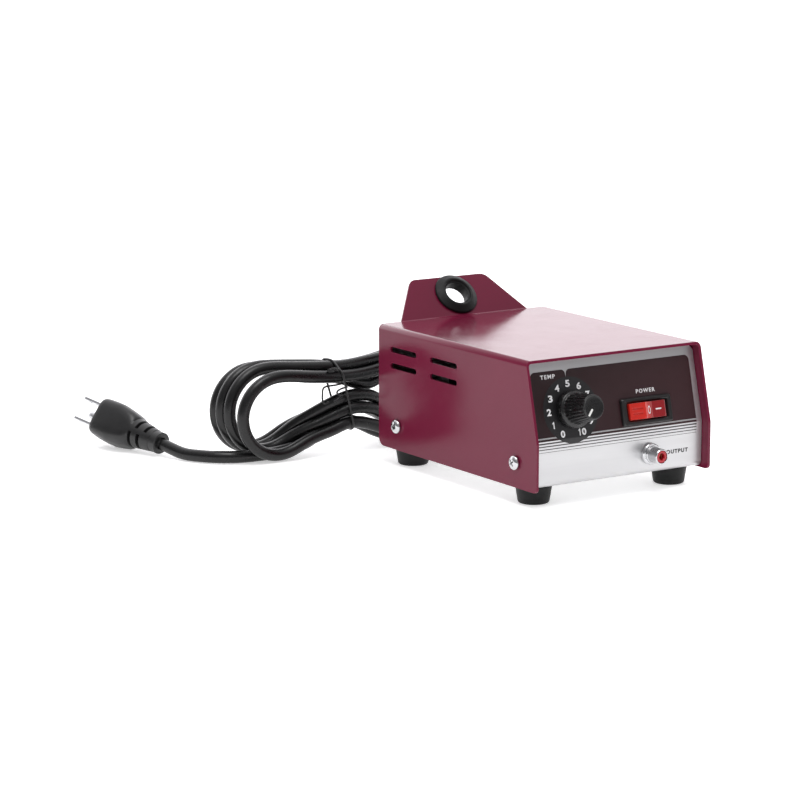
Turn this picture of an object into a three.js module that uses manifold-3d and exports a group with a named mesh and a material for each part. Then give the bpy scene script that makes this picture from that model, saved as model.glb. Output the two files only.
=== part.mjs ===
// Bench power unit for an electrically heated pen: a bent-steel case with a dial, a lit rocker
// switch, an output socket, a pen rest and a tied mains lead.
// Millimetres, +X to the right seen from the front, -Y out of the front panel, +Z up.
import * as THREE from 'three';
import { mergeVertices } from 'three/addons/utils/BufferGeometryUtils.js';
import Module from 'manifold-3d';

const wasm = await Module();
wasm.setup();

const DEG = Math.PI / 180;
const GAP = 0.3;                  // clearance kept between neighbouring solids

// ---- case -----------------------------------------------------------------
const CASE_W = 115;               // outside width of the cover
const CASE_D = 152;               // outside depth of the cover at its foot
const COVER_BASE = 9.5;           // height of the cover's lower edge above the bench
const CASE_TOP = 78;              // height of the cover's top face
const SHEET = 1.5;                // thickness of the cover and chassis sheet
const BEND_R = 3;                 // outside radius of a bend
const BEND_Z = 35.5;              // height where the front starts to lean back
const LEAN = 10.4;                // how far the top front edge stands back
const TILT = Math.atan2(LEAN, CASE_TOP - BEND_Z);
const FRONT_Y = -CASE_D / 2;
const REAR_Y = CASE_D / 2;
const RECESS = 5.5;               // front panel's depth behind the cover's front edge
const REAR_RECESS = 3;
const FLOOR_Z = 10.5;             // underside of the chassis floor
const PANEL_TOP_Z = 75.6;
const CHASSIS_W = CASE_W - 2 * SHEET - 2 * GAP;
const FLANGE_H = 17.5;            // side flanges that take the cover screws
const SCREW_Z = 22.9;
const SCREW_YS = { front: -57, rear: 57 };
const SIDES = { left: -1, right: 1 };

// ---- vents: two columns of two slots in each side ---------------------------
const VENT_LENGTH = 26.4;
const VENT_HEIGHT = 3.2;
const VENT_YS = [11.4, 51.2];
const VENT_ZS = [56.4, 65.5];

// ---- pen rest ---------------------------------------------------------------
const FLAP_HALF = 43;             // half width at the fold
const FLAP_TOP_HALF = 25.2;       // half width at the upper edge
const FLAP_LENGTH = 27.4;
const FLAP_LEAN = 43 * DEG;       // backwards from upright
const GROMMET_UP = 14.7;          // grommet centre, along the flap from the fold
const GROMMET_R = 13;
const GROMMET_HOLE_R = 6.8;
const GROMMET_HALF = 4.4;          // half thickness
const GROMMET_NECK_R = 10;

// ---- feet -------------------------------------------------------------------
const FOOT_X = 45;
const FOOT_YS = { front: -56, rear: 60 };
const FOOT_R = 10;
const FOOT_BASE_R = 8.3;
const SCREW_R = 1.75;             // all machine screws

// ---- controls, in the panel frame: x across, y up the panel, z out of it ------
const DIAL = { x: -29.4, y: 14.7 };
const KNOB_R = 9.9;
const KNOB_TOP_R = 6.9;
const KNOB_LIFT = 1.2;
const KNOB_HEIGHT = 21;
const SHAFT_R = 3;
const POINTER_TURN = 140 * DEG;   // anticlockwise from twelve o'clock: just above the dial's 0
const SWITCH = { x: 19.1, y: 9.4 };
const BEZEL = { w: 33, h: 14.8, t: 1.9 };
const WELL = { w: 26.2, h: 9.4, depth: 8 };
const SWITCH_BODY = { w: 28.2, h: 11.8, depth: 15 };
const ROCK = 10 * DEG;            // each way from level
const JACK = { x: 20.6, z: 21.3 };

// ---- mains lead --------------------------------------------------------------
const CORD_R = 3.5;
const EXIT = { x: 38, z: 23 };
const RELIEF_LENGTH = 25;
const HANK = { left: -141, right: 9, front: 101, rear: 137, top: 57.5, waistX: -60, waistLow: 13, waistHigh: 52 };
const TIE_W = 3;
const TIE_T = 1.2;
const PLUG_FACE = new THREE.Vector3(-166.0, 199.6, 15.2);
const PLUG_TAIL = new THREE.Vector3(-153.3, 153.7, 7.0);
const BLADE_SPACING = 12.7;
const PLUG_ROLL = 122 * DEG;      // blades one above the other, ground pin to the right

// Points along the middle of the lead where it isn't coiled.
const ENTRY_ROUTE = [
  [38, 62, 23], [38, 76, 23], [38, 90, 23], [38, 102, 23], [37, 109.5, 21.2], [34, 117, 17.4],
  [28.4, 123.8, 12.6], [19.5, 130.2, 7.8], [9.5, 133.3, 4.6], [0.5, 133.6, 3.7],
];
const LEAD_ROUTE = [
  [-133.4, 116.5, 3.7], [-139.3, 121.8, 3.6], [-144.2, 128.6, 3.6], [-148.2, 136.6, 3.7],
  [-150.8, 144.6, 5.0], [-153.1, 153.0, 6.8],
];

// ---- solids -------------------------------------------------------------------
// A closed mesh with merged vertices, no degenerate triangles and its faces pointing out.
function closed(geometry) {
  const bare = geometry.clone();
  bare.deleteAttribute('normal');
  bare.deleteAttribute('uv');
  const merged = mergeVertices(bare, 1e-4);
  const position = merged.getAttribute('position');
  const index = merged.getIndex().array;
  const [a, b, c] = [new THREE.Vector3(), new THREE.Vector3(), new THREE.Vector3()];
  const kept = [];
  let volume = 0;
  for (let i = 0; i < index.length; i += 3) {
    const [p, q, r] = [index[i], index[i + 1], index[i + 2]];
    if (p === q || q === r || r === p) continue;
    kept.push(p, q, r);
    a.fromBufferAttribute(position, p);
    b.fromBufferAttribute(position, q);
    c.fromBufferAttribute(position, r);
    volume += a.dot(b.cross(c));
  }
  if (volume < 0) kept.reverse();
  merged.setIndex(kept);
  return merged;
}

function toSolid(geometry) {
  const mesh = closed(geometry);
  return new wasm.Manifold(new wasm.Mesh({
    numProp: 3,
    vertProperties: new Float32Array(mesh.getAttribute('position').array),
    triVerts: new Uint32Array(mesh.getIndex().array),
  }));
}

function toGeometry(solid) {
  const mesh = solid.getMesh();
  const geometry = new THREE.BufferGeometry();
  geometry.setAttribute('position', new THREE.BufferAttribute(mesh.vertProperties, 3));
  geometry.setIndex(new THREE.BufferAttribute(mesh.triVerts, 1));
  return geometry;
}

const cut = (body, ...tools) => tools.reduce((rest, tool) => rest.subtract(toSolid(tool)), body);
const join = (...pieces) => pieces.map(toSolid).reduce((sum, piece) => sum.add(piece));

const block = (w, d, h, x = 0, y = 0, z = 0) => new THREE.BoxGeometry(w, d, h).translate(x, y, z);

// A turned piece about +Z from [radius, height] points.
function turned(points, segments = 24) {
  const profile = points.map(([r, z]) => new THREE.Vector2(r, z));
  return new THREE.LatheGeometry(profile, segments).rotateX(Math.PI / 2);
}

const rod = (radius, low, high, segments = 16) =>
  turned([[0, low], [radius, low], [radius, high], [0, high]], segments);

function ring(inner, outer, low, high, segments = 24) {
  return turned([[inner, low], [outer, low], [outer, high], [inner, high], [inner, low]], segments);
}

// Points of a closed outline whose corners [x, y, radius] are rounded by arcs.
function rounded(corners, steps = 5) {
  const points = [];
  corners.forEach(([x, y, radius], i) => {
    const corner = new THREE.Vector2(x, y);
    if (!radius) {
      points.push(corner);
      return;
    }
    const before = corners[(i + corners.length - 1) % corners.length];
    const after = corners[(i + 1) % corners.length];
    const back = new THREE.Vector2(before[0] - x, before[1] - y).normalize();
    const on = new THREE.Vector2(after[0] - x, after[1] - y).normalize();
    const half = Math.acos(THREE.MathUtils.clamp(back.dot(on), -1, 1)) / 2;
    const centre = back.clone().add(on).normalize().multiplyScalar(radius / Math.sin(half)).add(corner);
    const reach = radius / Math.tan(half);
    const start = back.multiplyScalar(reach).add(corner).sub(centre);
    const end = on.multiplyScalar(reach).add(corner).sub(centre);
    const sweep = Math.atan2(start.cross(end), start.dot(end));
    for (let k = 0; k <= steps; k += 1) {
      points.push(start.clone().rotateAround(new THREE.Vector2(), (sweep * k) / steps).add(centre));
    }
  });
  return points;
}

// An extruded outline: its x and y in the plane, its depth along +Z from `low` to `high`.
function slab(points, low, high, holes = []) {
  const shape = new THREE.Shape(points);
  shape.holes = holes.map((hole) => new THREE.Path(hole));
  const geometry = new THREE.ExtrudeGeometry(shape, { depth: high - low, bevelEnabled: false });
  return geometry.translate(0, 0, low);
}

const rectangle = (w, h, r = 0, x = 0, y = 0) => rounded([
  [x - w / 2, y - h / 2, r], [x + w / 2, y - h / 2, r], [x + w / 2, y + h / 2, r], [x - w / 2, y + h / 2, r],
]);

// An outline drawn in Y (across) and Z (up), extruded along X from `low` to `high`.
const slabAlongX = (points, low, high) =>
  slab(points, low, high).rotateX(Math.PI / 2).rotateZ(Math.PI / 2);

// An outline drawn in X and Z, extruded along Y from `low` to `high`.
const slabAlongY = (points, low, high) => slab(points, -high, -low).rotateX(Math.PI / 2);

// The outline of a bent sheet: its outer line, thickened to the left of its direction.
function bentSheet(line, thickness, bendRadius) {
  const inner = line.map((point, i) => {
    const p = new THREE.Vector2(...point);
    const sides = [];
    if (i > 0) sides.push(p.clone().sub(new THREE.Vector2(...line[i - 1])).normalize());
    if (i < line.length - 1) sides.push(new THREE.Vector2(...line[i + 1]).sub(p).normalize());
    const left = sides.map((d) => new THREE.Vector2(-d.y, d.x));
    if (left.length === 1) return p.add(left[0].multiplyScalar(thickness));
    const middle = left[0].clone().add(left[1]).normalize();
    return p.add(middle.multiplyScalar(thickness / middle.dot(left[0])));
  });
  const turn = (i) => Math.sign(
    (line[i][0] - line[i - 1][0]) * (line[i + 1][1] - line[i][1])
    - (line[i][1] - line[i - 1][1]) * (line[i + 1][0] - line[i][0]));
  const bent = (i) => i > 0 && i < line.length - 1;
  const radius = (i, side) => (bent(i) ? bendRadius - (turn(i) === side ? thickness : 0) : 0);
  const outerCorners = line.map(([x, y], i) => [x, y, radius(i, -1)]);
  const innerCorners = inner.map((p, i) => [p.x, p.y, radius(i, 1)]).reverse();
  return rounded([...outerCorners, ...innerCorners]);
}

function tube(route, radius, sides, step) {
  const curve = new THREE.CatmullRomCurve3(route.map((point) => new THREE.Vector3(...point)), false, 'centripetal');
  const section = new THREE.Shape(Array.from({ length: sides }, (_, i) =>
    new THREE.Vector2(radius * Math.cos((2 * Math.PI * i) / sides), radius * Math.sin((2 * Math.PI * i) / sides))));
  const steps = Math.round(curve.getLength() / step);
  return new THREE.ExtrudeGeometry(section, { steps, bevelEnabled: false, extrudePath: curve });
}

// ---- the scene ------------------------------------------------------------------
const unit = new THREE.Group();

// A frame on the leaning part of the front panel: x across, y up the panel, z out of it.
const panelFrame = new THREE.Group();
panelFrame.position.set(0, FRONT_Y + RECESS, BEND_Z);
panelFrame.rotation.x = Math.PI / 2 - TILT;
// The same on its upright lower part, centred on the output socket.
const jackFrame = new THREE.Group();
jackFrame.position.set(JACK.x, FRONT_Y + RECESS, JACK.z);
jackFrame.rotation.x = Math.PI / 2;
// A frame on the flap: y up the flap from the fold, z out of its front face.
const flapFrame = new THREE.Group();
flapFrame.position.set(0, REAR_Y, CASE_TOP - SHEET);
flapFrame.rotation.x = Math.PI / 2 - FLAP_LEAN;
// A frame at the plug's face: z out along the blades, x from blade to blade.
const plugFrame = new THREE.Group();
plugFrame.position.copy(PLUG_FACE);
plugFrame.up.set(0, 0, 1);
plugFrame.lookAt(PLUG_FACE.clone().multiplyScalar(2).sub(PLUG_TAIL));
unit.add(panelFrame, jackFrame, flapFrame, plugFrame);
unit.updateMatrixWorld(true);

const finishes = {
  maroon: [0x5e1c2c, 0.28, 0.1],
  silver: [0xc9c9c9, 0.45, 0.5],
  steel: [0xbfc1c4, 0.3, 0.9],
  chrome: [0xd8d9dc, 0.12, 1],
  brass: [0xc9a24a, 0.35, 1],
  copper: [0xb4673a, 0.4, 0.9],
  iron: [0x4a4a4d, 0.6, 0.7],
  rubber: [0x151516, 0.75, 0],
  black: [0x111113, 0.4, 0],
  nylon: [0x1a1a1b, 0.5, 0],
  red: [0xc3160f, 0.3, 0],
  white: [0xf1f1ee, 0.5, 0],
  glow: [0xff7a3c, 0.3, 0],
  board: [0x2f6b46, 0.5, 0],
  jacket: [0x171718, 0.5, 0],
  glass: [0xdfe6e8, 0.1, 0],
  yellow: [0xd9b33a, 0.5, 0],
};

function add(name, geometry, finish, parent = unit) {
  const [color, roughness, metalness] = finishes[finish];
  const mesh = new THREE.Mesh(geometry, new THREE.MeshStandardMaterial({ color, roughness, metalness }));
  mesh.name = name;
  parent.add(mesh);
  return mesh;
}

// Geometry made in a frame, carried into the case's own coordinates.
const placed = (geometry, frame) => geometry.applyMatrix4(frame.matrixWorld);

// ---- sheet metal -------------------------------------------------------------------
function sideHole(radius, y, z) {
  return new THREE.CylinderGeometry(radius, radius, CASE_W + 10, 20).rotateZ(Math.PI / 2).translate(0, y, z);
}

function ventSlot(y, z) {
  const outline = rectangle(VENT_LENGTH, VENT_HEIGHT, VENT_HEIGHT / 2 - 0.01, y, z);
  return slabAlongX(outline, -CASE_W, CASE_W);
}

function penRest() {
  const rise = [Math.sin(FLAP_LEAN), Math.cos(FLAP_LEAN)];
  const line = [
    [REAR_Y - 8, CASE_TOP - SHEET], [REAR_Y, CASE_TOP - SHEET],
    [REAR_Y + FLAP_LENGTH * rise[0], CASE_TOP - SHEET + FLAP_LENGTH * rise[1]],
  ];
  const sheet = toSolid(slabAlongX(bentSheet(line, SHEET, BEND_R), -FLAP_HALF, FLAP_HALF));
  const outline = rounded([
    [-FLAP_HALF, -20, 0], [FLAP_HALF, -20, 0], [FLAP_HALF, 0.6, 2],
    [FLAP_TOP_HALF, FLAP_LENGTH, 6], [-FLAP_TOP_HALF, FLAP_LENGTH, 6], [-FLAP_HALF, 0.6, 2],
  ]);
  const trimmed = sheet.intersect(toSolid(placed(slab(outline, -30, 30), flapFrame)));
  const hole = placed(rod(GROMMET_NECK_R + GAP, -4, 5, 32).translate(0, GROMMET_UP, 0), flapFrame);
  return cut(trimmed, hole);
}

function topCover() {
  const half = CASE_W / 2;
  const profile = bentSheet(
    [[half, COVER_BASE - 5], [half, CASE_TOP], [-half, CASE_TOP], [-half, COVER_BASE - 5]], SHEET, BEND_R);
  const side = rounded([
    [FRONT_Y, COVER_BASE, 2.5], [REAR_Y, COVER_BASE, 4.5], [REAR_Y, CASE_TOP + 1, 0],
    [FRONT_Y + LEAN, CASE_TOP + 1, 0], [FRONT_Y + LEAN, CASE_TOP, 0], [FRONT_Y, BEND_Z, 0],
  ]);
  const folded = toSolid(slabAlongY(profile, FRONT_Y, REAR_Y)).intersect(toSolid(slabAlongX(side, -half, half)));
  const vents = VENT_YS.flatMap((y) => VENT_ZS.map((z) => ventSlot(y, z)));
  const holes = Object.values(SCREW_YS).map((y) => sideHole(SCREW_R + GAP, y, SCREW_Z));
  return cut(folded.add(penRest()), ...vents, ...holes);
}

function chassis() {
  const back = REAR_Y - REAR_RECESS;
  const front = FRONT_Y + RECESS;
  const topBack = Math.tan(TILT) * (PANEL_TOP_Z - BEND_Z);
  const line = [[front + topBack, PANEL_TOP_Z], [front, BEND_Z], [front, FLOOR_Z], [back, FLOOR_Z], [back, PANEL_TOP_Z]];
  const half = CHASSIS_W / 2;
  const trough = toSolid(slabAlongX(bentSheet(line, SHEET, BEND_R), -half, half));
  const facing = rounded([
    [-half, FLOOR_Z - 2, 0], [half, FLOOR_Z - 2, 0], [half, PANEL_TOP_Z, 3.5], [-half, PANEL_TOP_Z, 3.5],
  ]);
  const flange = (side) => block(SHEET, back - front - 10, FLANGE_H,
    side * (half - SHEET / 2), (front + back) / 2, FLOOR_Z + FLANGE_H / 2);
  const body = trough.intersect(toSolid(slabAlongY(facing, FRONT_Y - 5, REAR_Y + 5)))
    .add(toSolid(flange(-1))).add(toSolid(flange(1)));
  const panelHoles = [
    rod(4.5 + GAP, -8, 8, 24).translate(DIAL.x, DIAL.y, 0),
    block(SWITCH_BODY.w + 2 * GAP, SWITCH_BODY.h + 2 * GAP, 12, SWITCH.x, SWITCH.y, 0),
  ].map((tool) => placed(tool, panelFrame));
  const jackHole = placed(rod(3 + GAP, -6, 6, 20), jackFrame);
  const cordHole = rod(7.2 + GAP, -6, 6, 24).rotateX(Math.PI / 2).translate(EXIT.x, back, EXIT.z);
  const screwHoles = Object.values(SCREW_YS).map((y) => sideHole(SCREW_R + GAP, y, SCREW_Z));
  const floorHoles = [...footPlaces(), ...TRANSFORMER_SCREWS]
    .map(({ x, y }) => rod(SCREW_R + GAP, 0, FLOOR_Z + 5).translate(x, y, 0));
  return cut(body, ...panelHoles, jackHole, cordHole, ...screwHoles, ...floorHoles);
}

// ---- feet and screws ------------------------------------------------------------------
function footPlaces() {
  return Object.entries(SIDES).flatMap(([side, sign]) =>
    Object.entries(FOOT_YS).map(([end, y]) => ({ name: `${end}_${side}`, x: sign * FOOT_X, y })));
}

function foot() {
  const top = FLOOR_Z - GAP;
  return turned([
    [2.2, 4.5], [2.2, top], [FOOT_R, top], [FOOT_R - 0.6, 4], [FOOT_BASE_R + 0.5, 1], [FOOT_BASE_R - 0.7, 0],
    [4.3, 0], [4.3, 4.5], [2.2, 4.5],
  ], 24);
}

function crossRecess(depth, top) {
  const arm = (turn) => block(0.9, 3.6, depth, 0, 0, top - depth / 2).rotateZ(turn);
  return [arm(0), arm(Math.PI / 2)];
}

// A pan head screw with its shank down -Z and the underside of its head at z = 0.
function panScrew(shank, headR = 3.9, headH = 2.4, segments = 20) {
  const head = turned([
    [0, -shank], [SCREW_R, -shank], [SCREW_R, 0], [headR, 0], [headR, headH * 0.35],
    [headR * 0.86, headH * 0.72], [headR * 0.55, headH * 0.94], [0, headH],
  ], segments);
  return toGeometry(cut(toSolid(head), ...crossRecess(1.3, headH)));
}

function addFeet() {
  for (const { name, x, y } of footPlaces()) {
    add(`foot_${name}`, closed(foot()).translate(x, y, 0), 'rubber');
    add(`foot_screw_${name}`, panScrew(9, 3.9, 2.2, 12).rotateX(Math.PI).translate(x, y, 4.5 - GAP), 'steel');
  }
}

function addCoverScrews() {
  for (const [side, sign] of Object.entries(SIDES)) {
    for (const [end, y] of Object.entries(SCREW_YS)) {
      const screw = panScrew(7).rotateY((sign * Math.PI) / 2);
      add(`cover_screw_${end}_${side}`, screw.translate(sign * (CASE_W / 2 + GAP), y, SCREW_Z), 'chrome');
    }
  }
}

// ---- pen rest grommet -------------------------------------------------------------------
function grommet() {
  const neckLow = -GAP;
  const neckHigh = SHEET + GAP;
  const middle = SHEET / 2;
  return turned([
    [GROMMET_HOLE_R, middle - GROMMET_HALF + 1], [GROMMET_HOLE_R + 1, middle - GROMMET_HALF],
    [GROMMET_R - 2, middle - GROMMET_HALF], [GROMMET_R, middle - GROMMET_HALF + 2], [GROMMET_R, neckLow],
    [GROMMET_NECK_R, neckLow], [GROMMET_NECK_R, neckHigh],
    [GROMMET_R, neckHigh], [GROMMET_R, middle + GROMMET_HALF - 2],
    [GROMMET_R - 2, middle + GROMMET_HALF], [GROMMET_HOLE_R + 1, middle + GROMMET_HALF],
    [GROMMET_HOLE_R, middle + GROMMET_HALF - 1], [GROMMET_HOLE_R, middle - GROMMET_HALF + 1],
  ], 32);
}

// ---- temperature control -------------------------------------------------------------------
const BUSH_R = 4.5;
const NUT_TOP = 3.4;
const BUSH_TOP = 5;
const SHAFT_TOP = 14;
const SET_SCREW_Z = 9.5;

const hexagon = (acrossFlats) => Array.from({ length: 6 }, (_, i) => {
  const angle = (i * Math.PI) / 3;
  const r = acrossFlats / Math.sqrt(3);
  return new THREE.Vector2(r * Math.cos(angle), r * Math.sin(angle));
});

function hexNut(acrossFlats, holeR, low, high) {
  return toGeometry(cut(toSolid(slab(hexagon(acrossFlats), low, high)), rod(holeR, low - 1, high + 1, 20)));
}

function knob() {
  const body = turned([
    [0, KNOB_HEIGHT], [KNOB_TOP_R - 1, KNOB_HEIGHT], [KNOB_TOP_R, KNOB_HEIGHT - 0.8], [8.3, 7],
    [KNOB_R - 0.4, 5.6], [KNOB_R, 4.8], [KNOB_R, KNOB_LIFT], [0, KNOB_LIFT],
  ], 36);
  const skirtHollow = rod(8.3, KNOB_LIFT - 1, BUSH_TOP + 0.5, 24);
  const bore = rod(SHAFT_R + GAP, 0, SHAFT_TOP + GAP, 20);
  const screwHole = rod(1.5 + GAP, 1, 15, 12).rotateX(-Math.PI / 2).translate(0, 0, SET_SCREW_Z);
  const pointerSlot = block(1.1 + 2 * GAP, 4.6 + 2 * GAP, 2, 0, 4.1, KNOB_HEIGHT).rotateZ(POINTER_TURN);
  return cut(toSolid(body), skirtHollow, bore, screwHole.rotateZ(Math.PI / 2), pointerSlot);
}

function addTemperatureControl() {
  const at = (geometry) => geometry.translate(DIAL.x, DIAL.y, 0);
  const can = join(rod(12, -12.5, -SHEET - GAP, 32), rod(BUSH_R, -4, BUSH_TOP, 24));
  const lugs = [-5, 0, 5].map((x) => block(2, 7, 0.8, x, -14, -8));
  const shaftWell = rod(SHAFT_R + GAP, -9, BUSH_TOP + 1, 20);
  const body = cut(lugs.reduce((sum, lug) => sum.add(toSolid(lug)), can), shaftWell);
  add('potentiometer', at(toGeometry(body)), 'steel', panelFrame);
  add('potentiometer_washer', at(closed(ring(BUSH_R + GAP, 7.2, GAP, 1))), 'steel', panelFrame);
  add('potentiometer_nut', at(hexNut(12, BUSH_R + GAP, 1 + GAP, NUT_TOP)), 'brass', panelFrame);
  add('potentiometer_shaft', at(closed(rod(SHAFT_R, -8.5, SHAFT_TOP, 20))), 'steel', panelFrame);
  add('temperature_knob', at(toGeometry(knob())), 'black', panelFrame);
  const bar = block(1.1, 4.6, 0.7, 0, 4.1, KNOB_HEIGHT - 0.35).rotateZ(POINTER_TURN);
  add('knob_pointer', at(closed(bar)), 'white', panelFrame);
  const grub = rod(1.5, SHAFT_R + 0.5, 7.6, 12).rotateX(-Math.PI / 2).rotateZ(Math.PI / 2);
  add('knob_set_screw', at(closed(grub)).translate(0, 0, SET_SCREW_Z), 'steel', panelFrame);
}

// ---- power switch ----------------------------------------------------------------------------
// The rocker's side view, level: x across the panel, y out of it, the pivot at the origin.
const ROCKER_OUTLINE = [
  [-12.6, 0.4], [-8, 7.2], [-7.2, 7.3], [0, 4.9], [7.2, 7.3], [8, 7.2], [12.6, 0.4],
  [11.4, -2.2], [3, -3.6], [-3, -3.6], [-11.4, -2.2],
];

function addSwitch() {
  const at = (geometry) => geometry.translate(SWITCH.x, SWITCH.y, 0);
  const bezel = slab(rectangle(BEZEL.w, BEZEL.h, 1), GAP, GAP + BEZEL.t);
  const box = block(SWITCH_BODY.w, SWITCH_BODY.h, SWITCH_BODY.depth + 1, 0, 0, 1 - (SWITCH_BODY.depth + 1) / 2);
  const well = block(WELL.w, WELL.h, 20, 0, 0, 10 - WELL.depth);
  const slots = [-9, 0, 9].map((x) => block(5.4, 1.4, 6, x, 0, -SWITCH_BODY.depth));
  add('switch_housing', at(toGeometry(cut(join(bezel, box), well, ...slots))), 'black', panelFrame);
  const outline = ROCKER_OUTLINE.map(([x, y]) => new THREE.Vector2(x, y).rotateAround(new THREE.Vector2(), -ROCK));
  const rocker = slabAlongY(outline, -WELL.h / 2 + GAP, WELL.h / 2 - GAP);
  add('switch_rocker', at(closed(rocker)), 'red', panelFrame);
  const lamp = turned([[0, -4.5], [1.4, -4.5], [1.4, 3.3], [0.8, 4.2], [0, 4.5]], 12).rotateY(Math.PI / 2);
  add('switch_lamp', at(closed(lamp)).translate(0, 0, -6.2), 'glow', panelFrame);
  [-9, 0, 9].forEach((x, i) => {
    const blade = block(4.8, 0.8, 8, x, 0, -SWITCH_BODY.depth - 1.4);
    add(`switch_terminal_${i + 1}`, at(closed(blade)), 'brass', panelFrame);
  });
}

// ---- output socket -----------------------------------------------------------------------------
function addOutputSocket() {
  const shell = turned([
    [1.9, -9], [3, -9], [3, GAP], [5.75, GAP], [5.75, 2], [5.2, 2.5], [4.15, 2.5], [4.15, 10.6], [3.8, 11],
    [3.5, 11], [3.5, 2.2], [1.9, 2.2], [1.9, -9],
  ]);
  add('jack_shell', closed(shell), 'chrome', jackFrame);
  add('jack_insulator', closed(ring(1.8, 3.2, 2.5, 10.4)), 'red', jackFrame);
  const contact = turned([[0, -13], [1.5, -13], [1.5, 9.6], [1, 9.6], [1, 3], [0, 3]], 16);
  add('jack_contact', closed(contact), 'brass', jackFrame);
  add('jack_nut', hexNut(10, 3 + GAP, -SHEET - 3, -SHEET - GAP), 'steel', jackFrame);
}

// ---- electrics on the chassis floor -----------------------------------------------------------------
const DECK = FLOOR_Z + SHEET + GAP;         // lowest point of anything standing on the floor
const CORE = { x: -23, y: 26, w: 57, h: 47.5, d: 22, leg: 19, window: 9.5, windowH: 28.5 };
const TRANSFORMER_SCREWS = [-1, 1].map((side) => ({ x: CORE.x, y: CORE.y + side * 27 }));
const BOARD = { x: 29, y: 24, w: 40, d: 62, z: DECK + 8, t: 1.6 };

function addTransformer() {
  const foot = SHEET + GAP;
  const base = DECK + foot;
  const middle = base + CORE.h / 2;
  const windows = [-1, 1].map((side) => block(
    CORE.window, CORE.d + 10, CORE.windowH, CORE.x + (side * (CORE.leg + CORE.window)) / 2, CORE.y, middle));
  const core = toSolid(block(CORE.w, CORE.d, CORE.h, CORE.x, CORE.y, middle));
  add('transformer_core', toGeometry(cut(core, ...windows)), 'iron');
  const coilW = CORE.leg + 2 * CORE.window - 2 * GAP;
  const coilD = CORE.d + 15;
  const through = rectangle(CORE.leg + 2 * GAP, CORE.d + 2 * GAP);
  const low = middle - CORE.windowH / 2 + GAP;
  const coil = slab(rectangle(coilW, coilD, 3), low, low + CORE.windowH - 2 * GAP, [through]);
  add('transformer_coil', closed(coil.translate(CORE.x, CORE.y, 0)), 'copper');
  const strap = slab(rectangle(16, 66, 3), DECK, DECK + SHEET);
  const holes = TRANSFORMER_SCREWS.map(({ x, y }) => rod(SCREW_R + GAP, DECK - 1, DECK + 4).translate(x, y, 0));
  add('transformer_base', toGeometry(cut(toSolid(strap.translate(CORE.x, CORE.y, 0)), ...holes)), 'steel');
  TRANSFORMER_SCREWS.forEach(({ x, y }, i) => {
    add(`transformer_screw_${i + 1}`, panScrew(5, 3.2, 2, 12).translate(x, y, DECK + SHEET + GAP), 'steel');
  });
}

function addCircuitBoard() {
  const corners = [-1, 1].flatMap((a) => [-1, 1].map((b) =>
    ({ x: BOARD.x + a * (BOARD.w / 2 - 4), y: BOARD.y + b * (BOARD.d / 2 - 4) })));
  corners.forEach(({ x, y }, i) => {
    add(`board_standoff_${i + 1}`, closed(rod(3, DECK, BOARD.z - GAP, 6)).translate(x, y, 0), 'brass');
  });
  add('circuit_board', closed(block(BOARD.w, BOARD.d, BOARD.t, BOARD.x, BOARD.y, BOARD.z + BOARD.t / 2)), 'board');
  const top = BOARD.z + BOARD.t + GAP;
  const fins = [-9, -3, 3, 9].map((x) => block(1.6, 9, 26, x, 4, 13));
  const sink = fins.reduce((sum, fin) => sum.add(toSolid(fin)), toSolid(block(24, 2, 26, 0, 0, 13)));
  add('heat_sink', toGeometry(sink).translate(BOARD.x, BOARD.y + 16, top), 'iron');
  const triac = join(block(10, 4.2, 15, 0, 0, 11.5), ...[-2.5, 0, 2.5].map((x) => block(0.8, 0.8, 6, x, 0, 3)));
  add('triac', toGeometry(triac).translate(BOARD.x, BOARD.y + 16 - 1 - GAP - 2.1, top), 'black');
  add('suppression_capacitor', closed(slab(rectangle(18, 8, 1), top, top + 14).translate(BOARD.x - 6, BOARD.y - 4, 0)), 'yellow');
  const ends = [-1, 1].map((side) => block(4, 7, 6, side * 8, 0, 3));
  const holder = ends.reduce((sum, end) => sum.add(toSolid(end)), toSolid(block(24, 7, 2, 0, 0, 1)));
  const fuseLift = 6;
  const cradle = new THREE.CylinderGeometry(2.6 + GAP, 2.6 + GAP, 30, 16).rotateZ(Math.PI / 2).translate(0, 0, fuseLift);
  const place = [BOARD.x, BOARD.y - 20, top];
  add('fuse_holder', toGeometry(cut(holder, cradle)).translate(...place), 'nylon');
  const fuse = new THREE.CylinderGeometry(2.6, 2.6, 20, 16).rotateZ(Math.PI / 2).translate(0, 0, fuseLift);
  add('fuse', closed(fuse).translate(...place), 'glass');
}

// ---- mains lead ----------------------------------------------------------------------------------
function addStrainRelief() {
  const back = REAR_Y - REAR_RECESS;
  const bore = CORD_R + GAP;
  const relief = turned([
    [bore, -4], [7.2, -4], [7.2, GAP], [9, GAP], [9, 2.8], [7.2, 3.6], [5.2, RELIEF_LENGTH], [bore, RELIEF_LENGTH], [bore, -4],
  ]);
  add('strain_relief', closed(relief.rotateX(-Math.PI / 2)).translate(EXIT.x, back, EXIT.z), 'nylon');
}

function hankOutline() {
  const { left, right, top, waistX, waistLow, waistHigh } = HANK;
  const r = top / 2;
  const shape = new THREE.Shape();
  shape.moveTo(left + r, 0);
  shape.bezierCurveTo(waistX - 22, 0, waistX - 18, waistLow, waistX - 6, waistLow);
  shape.lineTo(waistX + 6, waistLow);
  shape.bezierCurveTo(waistX + 20, waistLow, right - r - 22, 0, right - r, 0);
  shape.absarc(right - r, r, r, -Math.PI / 2, Math.PI / 2, false);
  shape.bezierCurveTo(right - r - 22, top, waistX + 20, waistHigh, waistX + 6, waistHigh);
  shape.lineTo(waistX - 6, waistHigh);
  shape.bezierCurveTo(waistX - 18, waistHigh, waistX - 22, top, left + r, top);
  shape.absarc(left + r, r, r, Math.PI / 2, (3 * Math.PI) / 2, false);
  return shape.getPoints(10);
}

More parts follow.
